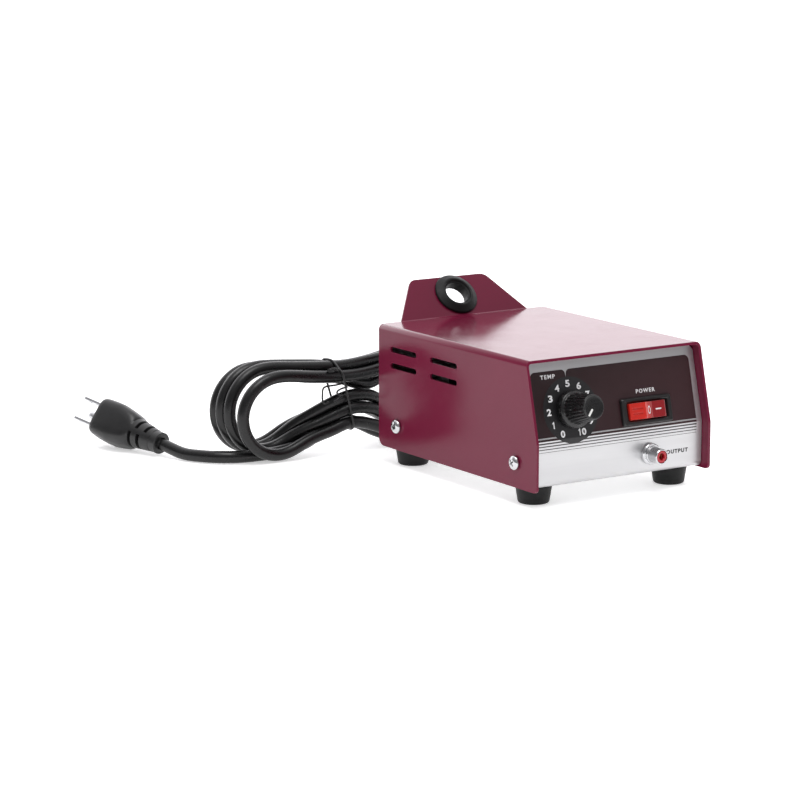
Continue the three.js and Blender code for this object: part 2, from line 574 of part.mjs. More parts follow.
function addLead() {
  add('cord_entry', closed(tube(ENTRY_ROUTE, CORD_R, 10, 10)), 'jacket');
  add('cord_hank', closed(slabAlongY(hankOutline(), HANK.front, HANK.rear)), 'jacket');
  add('cord_lead', closed(tube(LEAD_ROUTE, CORD_R, 10, 12)), 'jacket');
  const wide = HANK.rear - HANK.front + 2 * GAP;
  const tall = HANK.waistHigh - HANK.waistLow + 2 * GAP;
  const loop = slab(rectangle(wide + 2 * TIE_T, tall + 2 * TIE_T, 1.5), -TIE_W / 2, TIE_W / 2, [rectangle(wide, tall)]);
  const stand = loop.rotateX(Math.PI / 2).rotateZ(Math.PI / 2);
  const at = [HANK.waistX, (HANK.front + HANK.rear) / 2, (HANK.waistLow + HANK.waistHigh) / 2];
  add('cord_tie', closed(stand).translate(...at), 'black');
}

function addPlug() {
  const length = PLUG_FACE.distanceTo(PLUG_TAIL);
  const profile = [
    [0, 0], [10.6, 0], [11.6, -1], [12.2, -14], [11.8, -19], [9, -31], [7.6, -37], [6, GAP - length + 2],
    [5.4, GAP - length], [0, GAP - length],
  ];
  const pockets = [-1, 1].map((side) =>
    block(1.5 + 2 * GAP, 6.4 + 2 * GAP, 14, (side * BLADE_SPACING) / 2, -1.6, 0));
  const pinPocket = rod(2.4 + GAP, -7, 7, 16).translate(0, 10.3 - 1.6, 0);
  const roll = (geometry) => geometry.rotateZ(PLUG_ROLL);
  const body = cut(toSolid(turned(profile, 28)), ...[...pockets, pinPocket].map(roll));
  add('plug_body', toGeometry(body), 'black', plugFrame);
  [-1, 1].forEach((side) => {
    const blade = slab(rounded([[-3.2, -6.6, 0], [3.2, -6.6, 0], [3.2, 17.9, 1.4], [-3.2, 17.9, 1.4]], 3), -0.75, 0.75);
    const stood = roll(blade.rotateY(Math.PI / 2).rotateX(Math.PI / 2).translate((side * BLADE_SPACING) / 2, -1.6, 0));
    add(side < 0 ? 'plug_blade_left' : 'plug_blade_right', closed(stood), 'steel', plugFrame);
  });
  const pin = turned([[0, -6.6], [2.4, -6.6], [2.4, 17.6], [1.2, 19.5], [0, 19.5]], 16);
  add('plug_ground_pin', closed(roll(pin.translate(0, 8.7, 0))), 'steel', plugFrame);
}

// ---- assembly ------------------------------------------------------------------------------------------
add('top_cover', toGeometry(topCover()), 'maroon');
add('chassis', toGeometry(chassis()), 'silver');
add('holder_grommet', closed(grommet()).translate(0, GROMMET_UP, 0), 'rubber', flapFrame);
addFeet();
addCoverScrews();
addTemperatureControl();
addSwitch();
addOutputSocket();
addTransformer();
addCircuitBoard();
addStrainRelief();
addLead();
addPlug();

// The origin is the middle of the unit's footprint on the bench, without the lead.
unit.updateMatrixWorld(true);
const footprint = new THREE.Box3();
unit.traverse((mesh) => {
  if (mesh.isMesh && !/^(cord|plug)_/.test(mesh.name)) footprint.expandByObject(mesh, true);
});
const centre = footprint.getCenter(new THREE.Vector3());
unit.position.set(-centre.x, -centre.y, 0);

export default unit;
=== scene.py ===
"""Bench power unit of a wood burning pen: the visible model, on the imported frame."""
from math import atan2, copysign, cos, pi, radians, sin, tan

import bmesh
import bpy
import numpy as np
from mathutils import Matrix, Vector


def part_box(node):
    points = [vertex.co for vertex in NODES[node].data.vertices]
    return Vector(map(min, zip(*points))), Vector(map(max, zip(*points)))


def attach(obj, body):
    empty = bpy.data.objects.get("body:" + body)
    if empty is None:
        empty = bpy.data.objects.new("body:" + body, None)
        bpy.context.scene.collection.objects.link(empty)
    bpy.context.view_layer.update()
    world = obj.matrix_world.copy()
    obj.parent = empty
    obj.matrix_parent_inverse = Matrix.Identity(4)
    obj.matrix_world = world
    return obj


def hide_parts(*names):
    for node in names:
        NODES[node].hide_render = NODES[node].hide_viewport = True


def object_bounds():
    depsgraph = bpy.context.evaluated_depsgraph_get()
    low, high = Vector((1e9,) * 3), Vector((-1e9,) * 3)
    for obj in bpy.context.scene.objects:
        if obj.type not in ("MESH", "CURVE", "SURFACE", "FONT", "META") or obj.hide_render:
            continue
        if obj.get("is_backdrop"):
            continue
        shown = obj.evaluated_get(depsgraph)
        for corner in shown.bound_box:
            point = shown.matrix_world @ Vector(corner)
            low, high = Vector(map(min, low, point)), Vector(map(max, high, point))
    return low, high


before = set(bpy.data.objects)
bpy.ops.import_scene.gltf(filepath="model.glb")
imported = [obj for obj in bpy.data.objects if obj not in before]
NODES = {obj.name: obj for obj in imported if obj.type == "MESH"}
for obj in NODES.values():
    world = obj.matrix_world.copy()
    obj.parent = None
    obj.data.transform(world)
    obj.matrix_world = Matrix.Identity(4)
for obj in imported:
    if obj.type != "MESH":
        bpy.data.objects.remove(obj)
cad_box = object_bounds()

scene = bpy.context.scene
MM = 0.001

# Positions are in the CAD design's millimetres, whose zero in Y is the middle of the cover's depth.
COVER_DEPTH = 152
ROW_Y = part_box("top_cover")[0].y + COVER_DEPTH / 2 * MM

PANEL_Y = -70.5         # face of the panel's lower, upright part
BEND_Z = 35.5           # height at which the panel starts to lean back
PANEL_TOP_Z = 78
PANEL_LEAN = 10.4       # how far back it leans, from bend to top
TILT = atan2(PANEL_LEAN, PANEL_TOP_Z - BEND_Z)
DIAL = (-29.4, 14.7)    # x, and distance up the leaning part
SWITCH = (19.1, 9.4)
JACK = (20.6, 21.3)     # x and height
FLAP_LEAN = radians(43)
CORD_D = 7.0


def row(x, y, z):
    """A design point in millimetres as a row frame point in metres."""
    return Vector((x * MM, y * MM + ROW_Y, z * MM))


def frame_at(origin, right, up, out):
    """Matrix from local millimetres to the row frame in metres."""
    m = Matrix((right, up, out)).transposed().to_4x4() @ Matrix.Scale(MM, 4)
    m.translation = origin
    return m


def add_object(name, data):
    obj = bpy.data.objects.new(name, data)
    scene.collection.objects.link(obj)
    return obj


def leaning(origin, lean):
    """Frame of a plate that leans back: X across, Y up the plate, Z out of its face."""
    up = Vector((0, sin(lean), cos(lean)))
    out = Vector((0, -cos(lean), sin(lean)))
    return frame_at(origin, (1, 0, 0), up, out)


PANEL = leaning(row(0, PANEL_Y, BEND_Z), TILT)


# -------- camera

CAMERA_AT = (-961.97, -1340.467, 359.36)
CAMERA_AIM = (-65, 42.763, 41)
LENS = 137.66
SENSOR_WIDTH = 36
VIEW_DISTANCE = 50      # metres


def make_camera():
    """The photo's view, set down with the unit so that both move together."""
    cam = add_object("camera", bpy.data.cameras.new("camera"))
    cam.location = row(*CAMERA_AT)
    cam.rotation_euler = (row(*CAMERA_AIM) - cam.location).to_track_quat("-Z", "Y").to_euler()
    cam.data.sensor_width = SENSOR_WIDTH
    cam.data.lens = LENS
    cam.data.clip_end = VIEW_DISTANCE
    scene.camera = cam


make_camera()


# -------- shader nodes

def new_material(name):
    mat = bpy.data.materials.new(name)
    mat.use_nodes = True
    return mat, mat.node_tree, mat.node_tree.nodes["Principled BSDF"]


def feed(node, inputs):
    """Gives each input a value, or links another node's output to it."""
    for key, value in inputs.items():
        if hasattr(value, "links"):
            node.id_data.links.new(value, node.inputs[key])
        else:
            node.inputs[key].default_value = value


def add_node(tree, kind, inputs=None, **settings):
    """A ShaderNode of a kind, with its settings made before its inputs are fed."""
    node = tree.nodes.new("ShaderNode" + kind)
    for key, value in settings.items():
        setattr(node, key, value)
    feed(node, inputs or {})
    return node


def place(tree, stretch=(1, 1, 1)):
    """Object coordinates in metres, stretched."""
    coord = add_node(tree, "TexCoord").outputs["Object"]
    return add_node(tree, "Mapping", {"Vector": coord, "Scale": stretch}).outputs[0]


def noise(tree, scale, detail=3.0, rough=0.5, stretch=(1, 1, 1)):
    inputs = {"Vector": place(tree, stretch), "Scale": scale, "Detail": detail, "Roughness": rough}
    return add_node(tree, "TexNoise", inputs).outputs["Fac"]


def between(tree, fac, low, high, start=0.3, end=0.7, kind="LINEAR"):
    """A number going from low to high as fac goes from start to end."""
    inputs = {"Value": fac, "From Min": start, "From Max": end, "To Min": low, "To Max": high}
    return add_node(tree, "MapRange", inputs, interpolation_type=kind).outputs[0]


def maths(tree, operation, a, b, clamp=False):
    return add_node(tree, "Math", {0: a, 1: b}, operation=operation, use_clamp=clamp).outputs[0]


def blend_colours(tree, fac, a, b):
    return add_node(tree, "Mix", {0: fac, 6: (*a, 1), 7: (*b, 1)}, data_type="RGBA").outputs[2]


def bump(tree, height, strength, distance, below=None):
    inputs = {"Height": height, "Strength": strength, "Distance": distance}
    if below is not None:
        inputs["Normal"] = below
    return add_node(tree, "Bump", inputs).outputs[0]


IOR = 1.5


def surface(name, colour, other, rough, grain, spots, metallic=0.0, specular=0.5, coat=0.0,
            coat_rough=0.05, stretch=(1, 1, 1), anisotropic=0.0):
    """A finish: two close colours in soft patches, a roughness that wanders, and layers of fine grain.

    rough is (low, high); each grain layer is (scale per metre, bump strength, bump depth in metres)."""
    mat, tree, shader = new_material(name)
    patches = noise(tree, spots, 4, 0.55, stretch)
    wander = noise(tree, spots * 3.1, 5, 0.6, stretch)
    normal = None
    for scale, strength, depth in grain:
        normal = bump(tree, noise(tree, scale, 3, 0.55, stretch), strength, depth, normal)
    feed(shader, {
        "Base Color": blend_colours(tree, between(tree, patches, 0, 1), colour, other),
        "Roughness": between(tree, wander, *rough), "Normal": normal, "Metallic": metallic, "IOR": IOR,
        "Specular IOR Level": specular, "Coat Weight": coat, "Coat Roughness": coat_rough,
        "Anisotropic": anisotropic,
    })
    return mat


def edge_wear(mat, colour, amount, reach=0.5):
    """Lightens the base colour along edges, partly where paint pulls thin and partly as a painted highlight.
    reach is in mm.
    """
    tree = mat.node_tree
    shader = tree.nodes["Principled BSDF"]
    base = shader.inputs["Base Color"].links[0].from_socket
    rounded = add_node(tree, "Bevel", {"Radius": reach * MM}, samples=4).outputs[0]
    plain = add_node(tree, "NewGeometry").outputs["Normal"]
    match = add_node(tree, "VectorMath", {0: rounded, 1: plain}, operation="DOT_PRODUCT")
    # mask along edges: paint pulled thin, and a painted highlight where edges catch the light
    wear_and_highlight = between(tree, match.outputs["Value"], amount, 0, 0.82, 0.995)
    mix = add_node(tree, "Mix", {0: wear_and_highlight, 6: base, 7: (*colour, 1)}, data_type="RGBA")
    feed(shader, {"Base Color": mix.outputs[2]})
    return mat


def banded(name, direction, scale, distortion, dark, light, relief, metallic, rough):
    """Fine bands, as of wound wire or stacked plates. relief is (bump strength, depth in metres)."""
    mat, tree, shader = new_material(name)
    inputs = {"Vector": place(tree), "Scale": scale, "Distortion": distortion}
    bands = add_node(tree, "TexWave", inputs, bands_direction=direction).outputs["Fac"]
    feed(shader, {"Base Color": blend_colours(tree, bands, dark, light),
                  "Normal": bump(tree, bands, *relief), "Metallic": metallic, "Roughness": rough})
    return mat


def glass(name, tint):
    mat, tree, shader = new_material(name)
    feed(shader, {"Base Color": (*tint, 1), "Transmission Weight": 0.9,
                  "Roughness": between(tree, noise(tree, 200, 3), 0.02, 0.08)})
    return mat


# -------- finishes

def maroon_paint():
    mat = surface("maroon_paint", (0.162, 0.0135, 0.040), (0.147, 0.0120, 0.036), (0.12, 0.17),
                  grain=[(420, 0.07, 0.0003), (1500, 0.04, 0.0002)], spots=18, specular=0.2)
    # edges painted lighter pink: thin paint, and a painted highlight along them
    return edge_wear(mat, (0.30, 0.05, 0.10), 0.45)


def panel_metal():
    return surface("panel_metal", (0.62, 0.62, 0.625), (0.58, 0.58, 0.588), (0.30, 0.40), metallic=0.8,
                   grain=[(60, 0.05, 0.0003)], spots=30, stretch=(0.12, 6, 6), anisotropic=0.3)


def steel():
    return surface("steel", (0.58, 0.585, 0.60), (0.48, 0.485, 0.50), (0.25, 0.38), metallic=1.0,
                   grain=[(900, 0.1, 0.0002)], spots=120)


def chrome():
    return surface("chrome", (0.66, 0.665, 0.675), (0.52, 0.525, 0.54), (0.10, 0.2), metallic=1.0,
                   grain=[(500, 0.03, 0.0002)], spots=150)


def brass():
    return surface("brass", (0.78, 0.56, 0.22), (0.64, 0.43, 0.16), (0.22, 0.34), metallic=1.0,
                   grain=[(900, 0.1, 0.0002)], spots=150)


def copper_winding():
    return banded("copper_winding", "Z", 320, 1.2, (0.24, 0.075, 0.03), (0.62, 0.24, 0.10), (0.8, 0.0004),
                  metallic=0.8, rough=0.3)


def core_iron():
    return banded("core_iron", "Y", 300, 0.4, (0.05, 0.05, 0.052), (0.16, 0.155, 0.15), (0.7, 0.0003),
                  metallic=0.7, rough=0.45)


def sink_metal():
    return surface("sink_metal", (0.035, 0.035, 0.038), (0.055, 0.055, 0.06), (0.38, 0.5), metallic=0.7,
                   grain=[(1200, 0.2, 0.0002)], spots=90)


def rubber():
    return surface("rubber", (0.005, 0.005, 0.0052), (0.008, 0.008, 0.0084), (0.42, 0.56), specular=0.25,
                   grain=[(700, 0.22, 0.0003), (2600, 0.25, 0.0002)], spots=110)


def knob_plastic():
    return surface("knob_plastic", (0.004, 0.004, 0.0043), (0.007, 0.007, 0.0073), (0.24, 0.34), coat=0.1,
                   coat_rough=0.12, grain=[(1800, 0.08, 0.0002)], spots=120)


def black_plastic():
    return surface("black_plastic", (0.007, 0.007, 0.0073), (0.012, 0.012, 0.0124), (0.30, 0.42),
                   grain=[(2200, 0.18, 0.0002), (320, 0.05, 0.0003)], spots=90)


def cord_jacket():
    return surface("cord_jacket", (0.004, 0.004, 0.0042), (0.007, 0.007, 0.0073), (0.24, 0.34), specular=0.4,
                   grain=[(240, 0.10, 0.0006), (1900, 0.14, 0.0002)], spots=70)


def rocker_red():
    """Clear red plastic over a lamp, with painted light: its lit end gets a lighter base colour and a painted
    glow.
    """
    mat, tree, shader = new_material("rocker_red")
    x = add_node(tree, "SeparateXYZ", {0: place(tree)}).outputs[0]
    # painted light: the end that faces the light is painted lighter red and made to glow
    lit = between(tree, x, 1, 0, 0.0145, 0.0205)
    cloudy = between(tree, noise(tree, 260, 3), 0.85, 1.1)
    feed(shader, {
        "Base Color": blend_colours(tree, lit, (0.24, 0.006, 0.010), (0.46, 0.014, 0.008)),
        "Emission Color": (0.95, 0.025, 0.008, 1),
        "Emission Strength": maths(tree, "MULTIPLY", between(tree, lit, 0.02, 0.13, 0, 1), cloudy),
        "Roughness": 0.16, "Coat Weight": 0.4,
    })
    return mat


def insulator_red():
    return surface("insulator_red", (0.52, 0.018, 0.03), (0.42, 0.012, 0.022), (0.2, 0.3),
                   grain=[(1500, 0.08, 0.0002)], spots=200)


def pointer_white():
    return surface("pointer_white", (0.88, 0.88, 0.85), (0.80, 0.80, 0.77), (0.4, 0.5),
                   grain=[(2000, 0.1, 0.0001)], spots=300)


def lamp_glass():
    return glass("lamp_glass", (1.0, 0.62, 0.35))


def fuse_glass():
    return glass("fuse_glass", (0.9, 0.93, 0.93))


def board_green():
    return surface("board_green", (0.03, 0.15, 0.06), (0.015, 0.09, 0.035), (0.25, 0.4), coat=0.3,
                   grain=[(600, 0.1, 0.0003)], spots=220)


def film_yellow():
    return surface("film_yellow", (0.66, 0.46, 0.06), (0.58, 0.38, 0.05), (0.25, 0.35),
                   grain=[(900, 0.1, 0.0003)], spots=120)


def print_maroon():
    """The dark maroon ink of the panel, deeper towards the dial."""
    mat, tree, shader = new_material("panel_print_maroon")
    x = add_node(tree, "SeparateXYZ", {0: place(tree)}).outputs[0]
    fade = between(tree, x, 0, 1, -0.055, 0.05)
    screen = between(tree, noise(tree, 2600, 2), -0.12, 0.12)
    fac = maths(tree, "ADD", fade, screen, clamp=True)
    feed(shader, {"Base Color": blend_colours(tree, fac, (0.016, 0.0045, 0.0055), (0.036, 0.010, 0.013)),
                  "Roughness": between(tree, noise(tree, 90, 4), 0.28, 0.36)})
    return mat


FINISH = {make.__name__: make() for make in (
    maroon_paint, panel_metal, steel, chrome, brass, copper_winding, core_iron, sink_metal, rubber,
    knob_plastic, black_plastic, cord_jacket, rocker_red, insulator_red, pointer_white, lamp_glass,
    fuse_glass, board_green, film_yellow)}
INK = {"maroon": print_maroon()}
for ink_name, main, other in (("black", (0.008, 0.008, 0.009), (0.014, 0.013, 0.014)),
                              ("white", (0.86, 0.86, 0.86), (0.78, 0.78, 0.79)),
                              ("grey", (0.045, 0.038, 0.04), (0.065, 0.055, 0.058))):
    INK[ink_name] = surface("panel_print_" + ink_name, main, other, (0.34, 0.46),
                            grain=[(2400, 0.06, 0.0001)], spots=400)


# -------- mesh building

def add_piece(name, data, slot, body="case", nodes=(), material=None):
    """An object on its body, with its slot, its finish and the nodes it stands for."""
    obj = add_object(name, data)
    data.materials.clear()
    data.materials.append(material or FINISH[slot])
    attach(obj, body)
    if nodes:
        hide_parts(*nodes)
    return obj


def closed_mesh(name, points, faces, at):
    """A mesh from points in local millimetres, set down by the matrix at, with its faces turned out."""
    mesh = bpy.data.meshes.new(name)
    mesh.from_pydata([at @ Vector(p) for p in points], [], faces)
    work = bmesh.new()
    work.from_mesh(mesh)
    bmesh.ops.remove_doubles(work, verts=work.verts, dist=1e-8)
    bmesh.ops.recalc_face_normals(work, faces=work.faces)
    work.to_mesh(mesh)
    work.free()
    return mesh


def evaluated_mesh(obj):
    """The mesh of an object with its modifiers applied, or of a curve or a text."""
    return bpy.data.meshes.new_from_object(obj.evaluated_get(bpy.context.evaluated_depsgraph_get()))


def soften(mesh, sharp):
    mesh.shade_smooth()
    mesh.set_sharp_from_angle(angle=radians(sharp))


def mesh_piece(name, points, faces, at, slot, body="case", nodes=(), material=None, sharp=32):
    mesh = closed_mesh(name, points, faces, at)
    soften(mesh, sharp)
    return add_piece(name, mesh, slot, body, nodes, material)


def add_bevel(obj, width, angle):
    """Rounds the edges sharper than the angle; width in millimetres."""
    mod = obj.modifiers.new("bevel", "BEVEL")
    mod.width = width * MM
    mod.segments = 2
    mod.limit_method = "ANGLE"
    mod.angle_limit = radians(angle)


def even_normals(obj):
    obj.modifiers.new("normals", "WEIGHTED_NORMAL").keep_sharp = False


def bevelled(obj, width, angle=32):
    """A smooth-shaded piece with its sharp edges rounded."""
    add_bevel(obj, width, angle)
    obj.data.shade_smooth()
    even_normals(obj)


def loft(rings, closed=False):
    """Points and faces over rings with equal point counts; the ends are capped unless closed."""
    n = len(rings[0])
    points = [p for r in rings for p in r]
    faces = []
    count = len(rings)
    for k in range(count if closed else count - 1):
        a, b = k * n, ((k + 1) % count) * n
        faces += [(a + i, a + (i + 1) % n, b + (i + 1) % n, b + i) for i in range(n)]
    if not closed:
        faces.append(tuple(reversed(range(n))))
        faces.append(tuple(range((count - 1) * n, count * n)))
    return points, faces


def oval(a, b, n, centre=(0, 0)):
    """An ellipse as n points in the plane."""
    turns = [2 * pi * i / n for i in range(n)]
    return [(centre[0] + a * cos(t), centre[1] + b * sin(t)) for t in turns]


def at_height(outline, z):
    return [(x, y, z) for x, y in outline]


def polar_ring(radius_at, z, n):
    """A ring of n points whose radius is a function of the angle."""
    turns = [2 * pi * i / n for i in range(n)]
    return [(radius_at(t) * cos(t), radius_at(t) * sin(t), z) for t in turns]


def turned(profile, n=64, closed=True):
    """A turned body round local Z. The profile is (radius, z) pairs; closed joins its last to its first."""
    return loft([at_height(oval(r, r, n), z) for r, z in profile], closed)


def filleted(corners, radius, steps=4, closed=True):
    """A 2-D outline with its corners rounded; radius is one number or one for each corner."""
    n = len(corners)
    radii = [radius] * n if isinstance(radius, (int, float)) else list(radius)
    out = []
    for i, c in enumerate(corners):
        c = Vector(c)
        if not closed and i in (0, n - 1) or radii[i] <= 0:
            out.append(tuple(c))
            continue
        a = Vector(corners[i - 1]) - c
        b = Vector(corners[(i + 1) % n]) - c
        half = a.angle(b) / 2
        reach = min(radii[i] / tan(half), a.length * 0.49, b.length * 0.49)
        r = reach * tan(half)
        a.normalize()
        b.normalize()
        middle = c + (a + b).normalized() * (r / sin(half))
        start, end = c + a * reach - middle, c + b * reach - middle
        sweep = pi - 2 * half
        turn = 1 if start.x * end.y - start.y * end.x > 0 else -1
        for k in range(steps + 1):
            t = turn * sweep * k / steps
            out.append((middle.x + start.x * cos(t) - start.y * sin(t),
                        middle.y + start.x * sin(t) + start.y * cos(t)))
    return out


def rectangle(a, b):
    """Its corners, from its half width and half height."""
    return [(-a, -b), (a, -b), (a, b), (-a, b)]


def round_rect(w, h, r, z, steps=5):
    return at_height(filleted(rectangle(w / 2, h / 2), r, steps), z)


def carve(obj, points, faces, at):
    """Cuts a closed shape out of a piece, for good."""
    cutter = add_object("cutter", closed_mesh("cutter", points, faces, at))
    mod = obj.modifiers.new("cut", "BOOLEAN")
    mod.operation = "DIFFERENCE"
    mod.solver = "EXACT"
    mod.object = cutter
    cut = evaluated_mesh(obj)
    obj.modifiers.remove(mod)
    used = (obj.data, cutter.data)
    obj.data = cut
    bpy.data.objects.remove(cutter)
    for mesh in used:
        bpy.data.meshes.remove(mesh)
    cut.name = obj.name


def curve_piece(name, points, diameter, slot, nodes=(), resolution=8, closed=False):
    """A round cord or wire along design points."""
    data = bpy.data.curves.new(name, "CURVE")
    data.dimensions = "3D"
    data.bevel_depth = diameter / 2 * MM
    data.bevel_resolution = resolution
    data.use_fill_caps = True
    line = data.splines.new("POLY")
    line.points.add(len(points) - 1)
    for target, p in zip(line.points, points):
        target.co = (*row(*p), 1)
    line.use_smooth = True
    line.use_cyclic_u = closed
    return add_piece(name, data, slot, nodes=nodes)


# -------- mains lead

ENTRY_ROUTE = [(38, 62, 23), (38, 76, 23), (38, 90, 23), (38, 102, 23), (37, 109.5, 21.2), (34, 117, 17.4),
               (28.4, 123.8, 12.6), (19.5, 130.2, 7.8), (9.5, 133.3, 4.6), (0.5, 133.6, 3.7)]
LEAD_ROUTE = [(-133.4, 116.5, 3.7), (-139.3, 121.8, 3.6), (-144.2, 128.6, 3.6), (-148.2, 136.6, 3.7),
              (-150.8, 144.6, 5.0), (-153.1, 153.0, 6.8)]
TIE_X = -60
SIDE_X = -38
FLOOR_CORD = 3.6
STEP = 3.0

# Each turn of the hank: its runs at the tie and beside the case as (y, z), and its left fold as
# (y, reach, top).
TURNS = {
    "D": {"low": (113.5, 28.5), "high": (113.5, 42), "fold": (133, -131.3, 49.5),
          "side_low": (120, 21), "side_high": (115, 36.5)},
    "C": {"low": (107, 32.2), "high": (117.3, 48), "fold": (126, -131.1, 51),
          "side_low": (108.5, 28.5), "side_high": (117.5, 49.5)},
    "B": {"low": (105.5, 25), "high": (110.3, 49.3), "fold": (119, -129.9, 51),
          "side_low": (106.2, 21.5), "side_high": (110, 51)},
    "A": {"low": (105, 17.5), "high": (105, 44.5), "fold": (105, -130.0, 48.2),
          "side_low": (105.5, 12.5), "side_high": (105.5, 46.5)},
}
# Right folds after each turn: y above, y below, reach, top, bottom.
RIGHT_FOLDS = {"D": (127.5, 125.5, 15.5, 53, 8), "C": (122, 118, 13.5, 52, 5.5),
               "B": (114.5, 106.5, 14, 52, 3.6), "A": (106.5, 113.5, 9, 49.5, 3.6)}
LAST_RUN = [(-38, 113.5, 9.5), (-60, 112.5, 18.6), (-74, 112.3, 13.5), (-88, 112, 8), (-103, 112, 3.8),
            (-116, 112, 3.5), (-126, 113.2, 3.6)]


def left_fold(y, reach, top):
    """Round the far left end of a turn, from the floor to its top."""
    middle = (FLOOR_CORD + top) / 2
    return [(-103, y, FLOOR_CORD), (reach + 13.5, y, 6.2), (reach + 4.2, y, 14.2),
            (reach + 0.2, y, middle + 1.5), (reach + 3.4, y, middle + 11.5),
            (reach + 11.5, y, top - 3.6), (reach + 23, y, top)]


def right_fold(y_high, y_low, reach, top, bottom):
    """Half a circle round the end behind the case, from the top down."""
    middle, r = (top + bottom) / 2, (top - bottom) / 2
    points = []
    for part in np.linspace(0, 1, 7):
        a = pi / 2 - pi * part
        y = y_high + (y_low - y_high) * part
        points.append((reach - r + r * cos(a), y, middle + r * sin(a)))
    return points


def hank_turn(t):
    """From beside the case, left under the tie, round the left fold and back over."""
    (low_y, low_z), (high_y, high_z), (y, reach, top) = t["low"], t["high"], t["fold"]
    return [(SIDE_X, *t["side_low"]), (TIE_X, low_y, low_z),
            (-74, low_y + 0.3 * (y - low_y), 0.72 * low_z + 1.0),
            (-88, low_y + 0.72 * (y - low_y), 0.36 * low_z + 3.2),
            *left_fold(y, reach, top),
            (-88, high_y + 0.62 * (y - high_y), 0.4 * high_z + 0.6 * top),
            (-73, high_y + 0.22 * (y - high_y), 0.8 * high_z + 0.2 * top),
            (TIE_X, high_y, high_z), (SIDE_X, *t["side_high"])]


def lead_points():
    """From inside the case to the plug; the hank is a loop over its turns."""
    points = list(ENTRY_ROUTE) + [(-12, 131.5, 7), (-26, 126, 15.5)]
    for key, turn in TURNS.items():
        points += hank_turn(turn) + right_fold(*RIGHT_FOLDS[key])
    return np.array(points + LAST_RUN + LEAD_ROUTE, float)


def evenly(line, step):
    """The same line as points in even steps."""
    s = np.concatenate([[0], np.cumsum(np.linalg.norm(np.diff(line, axis=0), axis=1))])
    u = np.linspace(0, s[-1], int(round(s[-1] / step)) + 1)
    return np.stack([np.interp(u, s, line[:, i]) for i in range(3)], 1)


def smooth_line(points, step):
    """A natural cubic spline through the points, in even steps."""
    t = np.concatenate([[0], np.cumsum(np.sqrt(np.linalg.norm(np.diff(points, axis=0), axis=1)))])
    n, h = len(t), np.diff(t)
    a, b = np.zeros((n, n)), np.zeros((n, 3))
    a[0, 0] = a[-1, -1] = 1
    for i in range(1, n - 1):
        a[i, i - 1:i + 2] = h[i - 1], 2 * (h[i - 1] + h[i]), h[i]
        b[i] = 6 * ((points[i + 1] - points[i]) / h[i] - (points[i] - points[i - 1]) / h[i - 1])
    m = np.linalg.solve(a, b)
    u = np.linspace(0, t[-1], 30 * n)
    k = np.clip(np.searchsorted(t, u, side="right") - 1, 0, n - 2)
    left, right, w = (t[k + 1] - u)[:, None], (u - t[k])[:, None], h[k][:, None]
    line = (m[k] * left ** 3 + m[k + 1] * right ** 3) / (6 * w)
    line += (points[k] / w - m[k] * w / 6) * left + (points[k + 1] / w - m[k + 1] * w / 6) * right
    return evenly(line, step)


SETTLE_ROUNDS = 150
SETTLE_GAP = CORD_D + 0.05
SEPARATE = 22           # runs closer than this along the lead don't push each other
HELD_START = 70         # lengths at the case and at the plug that stay where they are
HELD_END = 30
EASY_BEND = 25          # bend radius below which smoothing comes on, and where it is full
TIGHT_BEND = 17


def tightness(line):
    """From 0 on an easy stretch of the line to 1 on a tight bend."""
    edge = np.diff(line, axis=0)
    length = np.linalg.norm(edge, axis=1)
    unit = edge / length[:, None]
    turn = np.arccos(np.clip((unit[1:] * unit[:-1]).sum(1), -1, 1))
    bend = np.full(len(line), 4.0 * EASY_BEND)
    bend[1:-1] = length[1:] / np.maximum(turn, 1e-6)
    tight = np.clip((EASY_BEND - bend) / (EASY_BEND - TIGHT_BEND), 0, 1)[:, None]
    tight[1:-1] = np.maximum(tight[1:-1], 0.5 * (tight[:-2] + tight[2:]))
    return tight


def settle(line):
    """Lets the turns push each other apart until they lie side by side, and eases the bends."""
    index = np.arange(len(line))
    apart = np.abs(index[:, None] - index[None]) > int(SEPARATE / STEP)
    held = (index < int(HELD_START / STEP)) | (index >= len(line) - int(HELD_END / STEP))
    rest = line.copy()
    for _ in range(SETTLE_ROUNDS):
        away = line[:, None] - line[None]
        dist = np.linalg.norm(away, axis=2) + 1e-9
        hit = apart & (dist < SETTLE_GAP)
        push = (away / dist[..., None] * ((SETTLE_GAP - dist) * hit)[..., None]).sum(1)
        moved = line + 0.5 * push / np.maximum(hit.sum(1), 1)[:, None]
        soft = moved.copy()
        soft[1:-1] = 0.5 * moved[1:-1] + 0.25 * (moved[:-2] + moved[2:])
        fair = moved.copy()
        fair[2:-2] = (-moved[:-4] + 4 * moved[1:-3] + 10 * moved[2:-2] + 4 * moved[3:-1] - moved[4:]) / 16
        tight = tightness(moved)
        moved = fair + 0.35 * tight * (soft - fair)
        moved += 0.02 * (1 - tight) * (rest - moved)
        moved[:, 2] = np.maximum(moved[:, 2], CORD_D / 2)
        moved[held] = rest[held]
        line = moved
    return line


LEAD_LINE = settle(smooth_line(lead_points(), STEP))
FLOOR_GAP = 0.02


def make_lead():
    fine = smooth_line(LEAD_LINE, STEP / 2)
    fine[:, 2] = np.maximum(fine[:, 2], CORD_D / 2) + FLOOR_GAP
    return curve_piece("mains_lead", fine, CORD_D, "cord_jacket",
                       nodes=("cord_entry", "cord_hank", "cord_lead"), resolution=7)


# -------- tie round the hank

TIE_WIRE = 1.25
TWIST_STEP = 0.4


def tie_x(z):
    """The tie leans: its top is further left than its foot."""
    return -58 - 8 * (z - 14) / 34


def hull(points):
    """Outline of the tight band round 2-D points."""
    points = sorted(points)
    out = []
    for direction in (points, points[::-1]):
        chain = []
        for p in direction:
            while len(chain) > 1 and ((chain[-1][0] - chain[-2][0]) * (p[1] - chain[-2][1])
                                      - (chain[-1][1] - chain[-2][1]) * (p[0] - chain[-2][0])) <= 0:
                chain.pop()
            chain.append(p)
        out += chain[:-1]
    return out


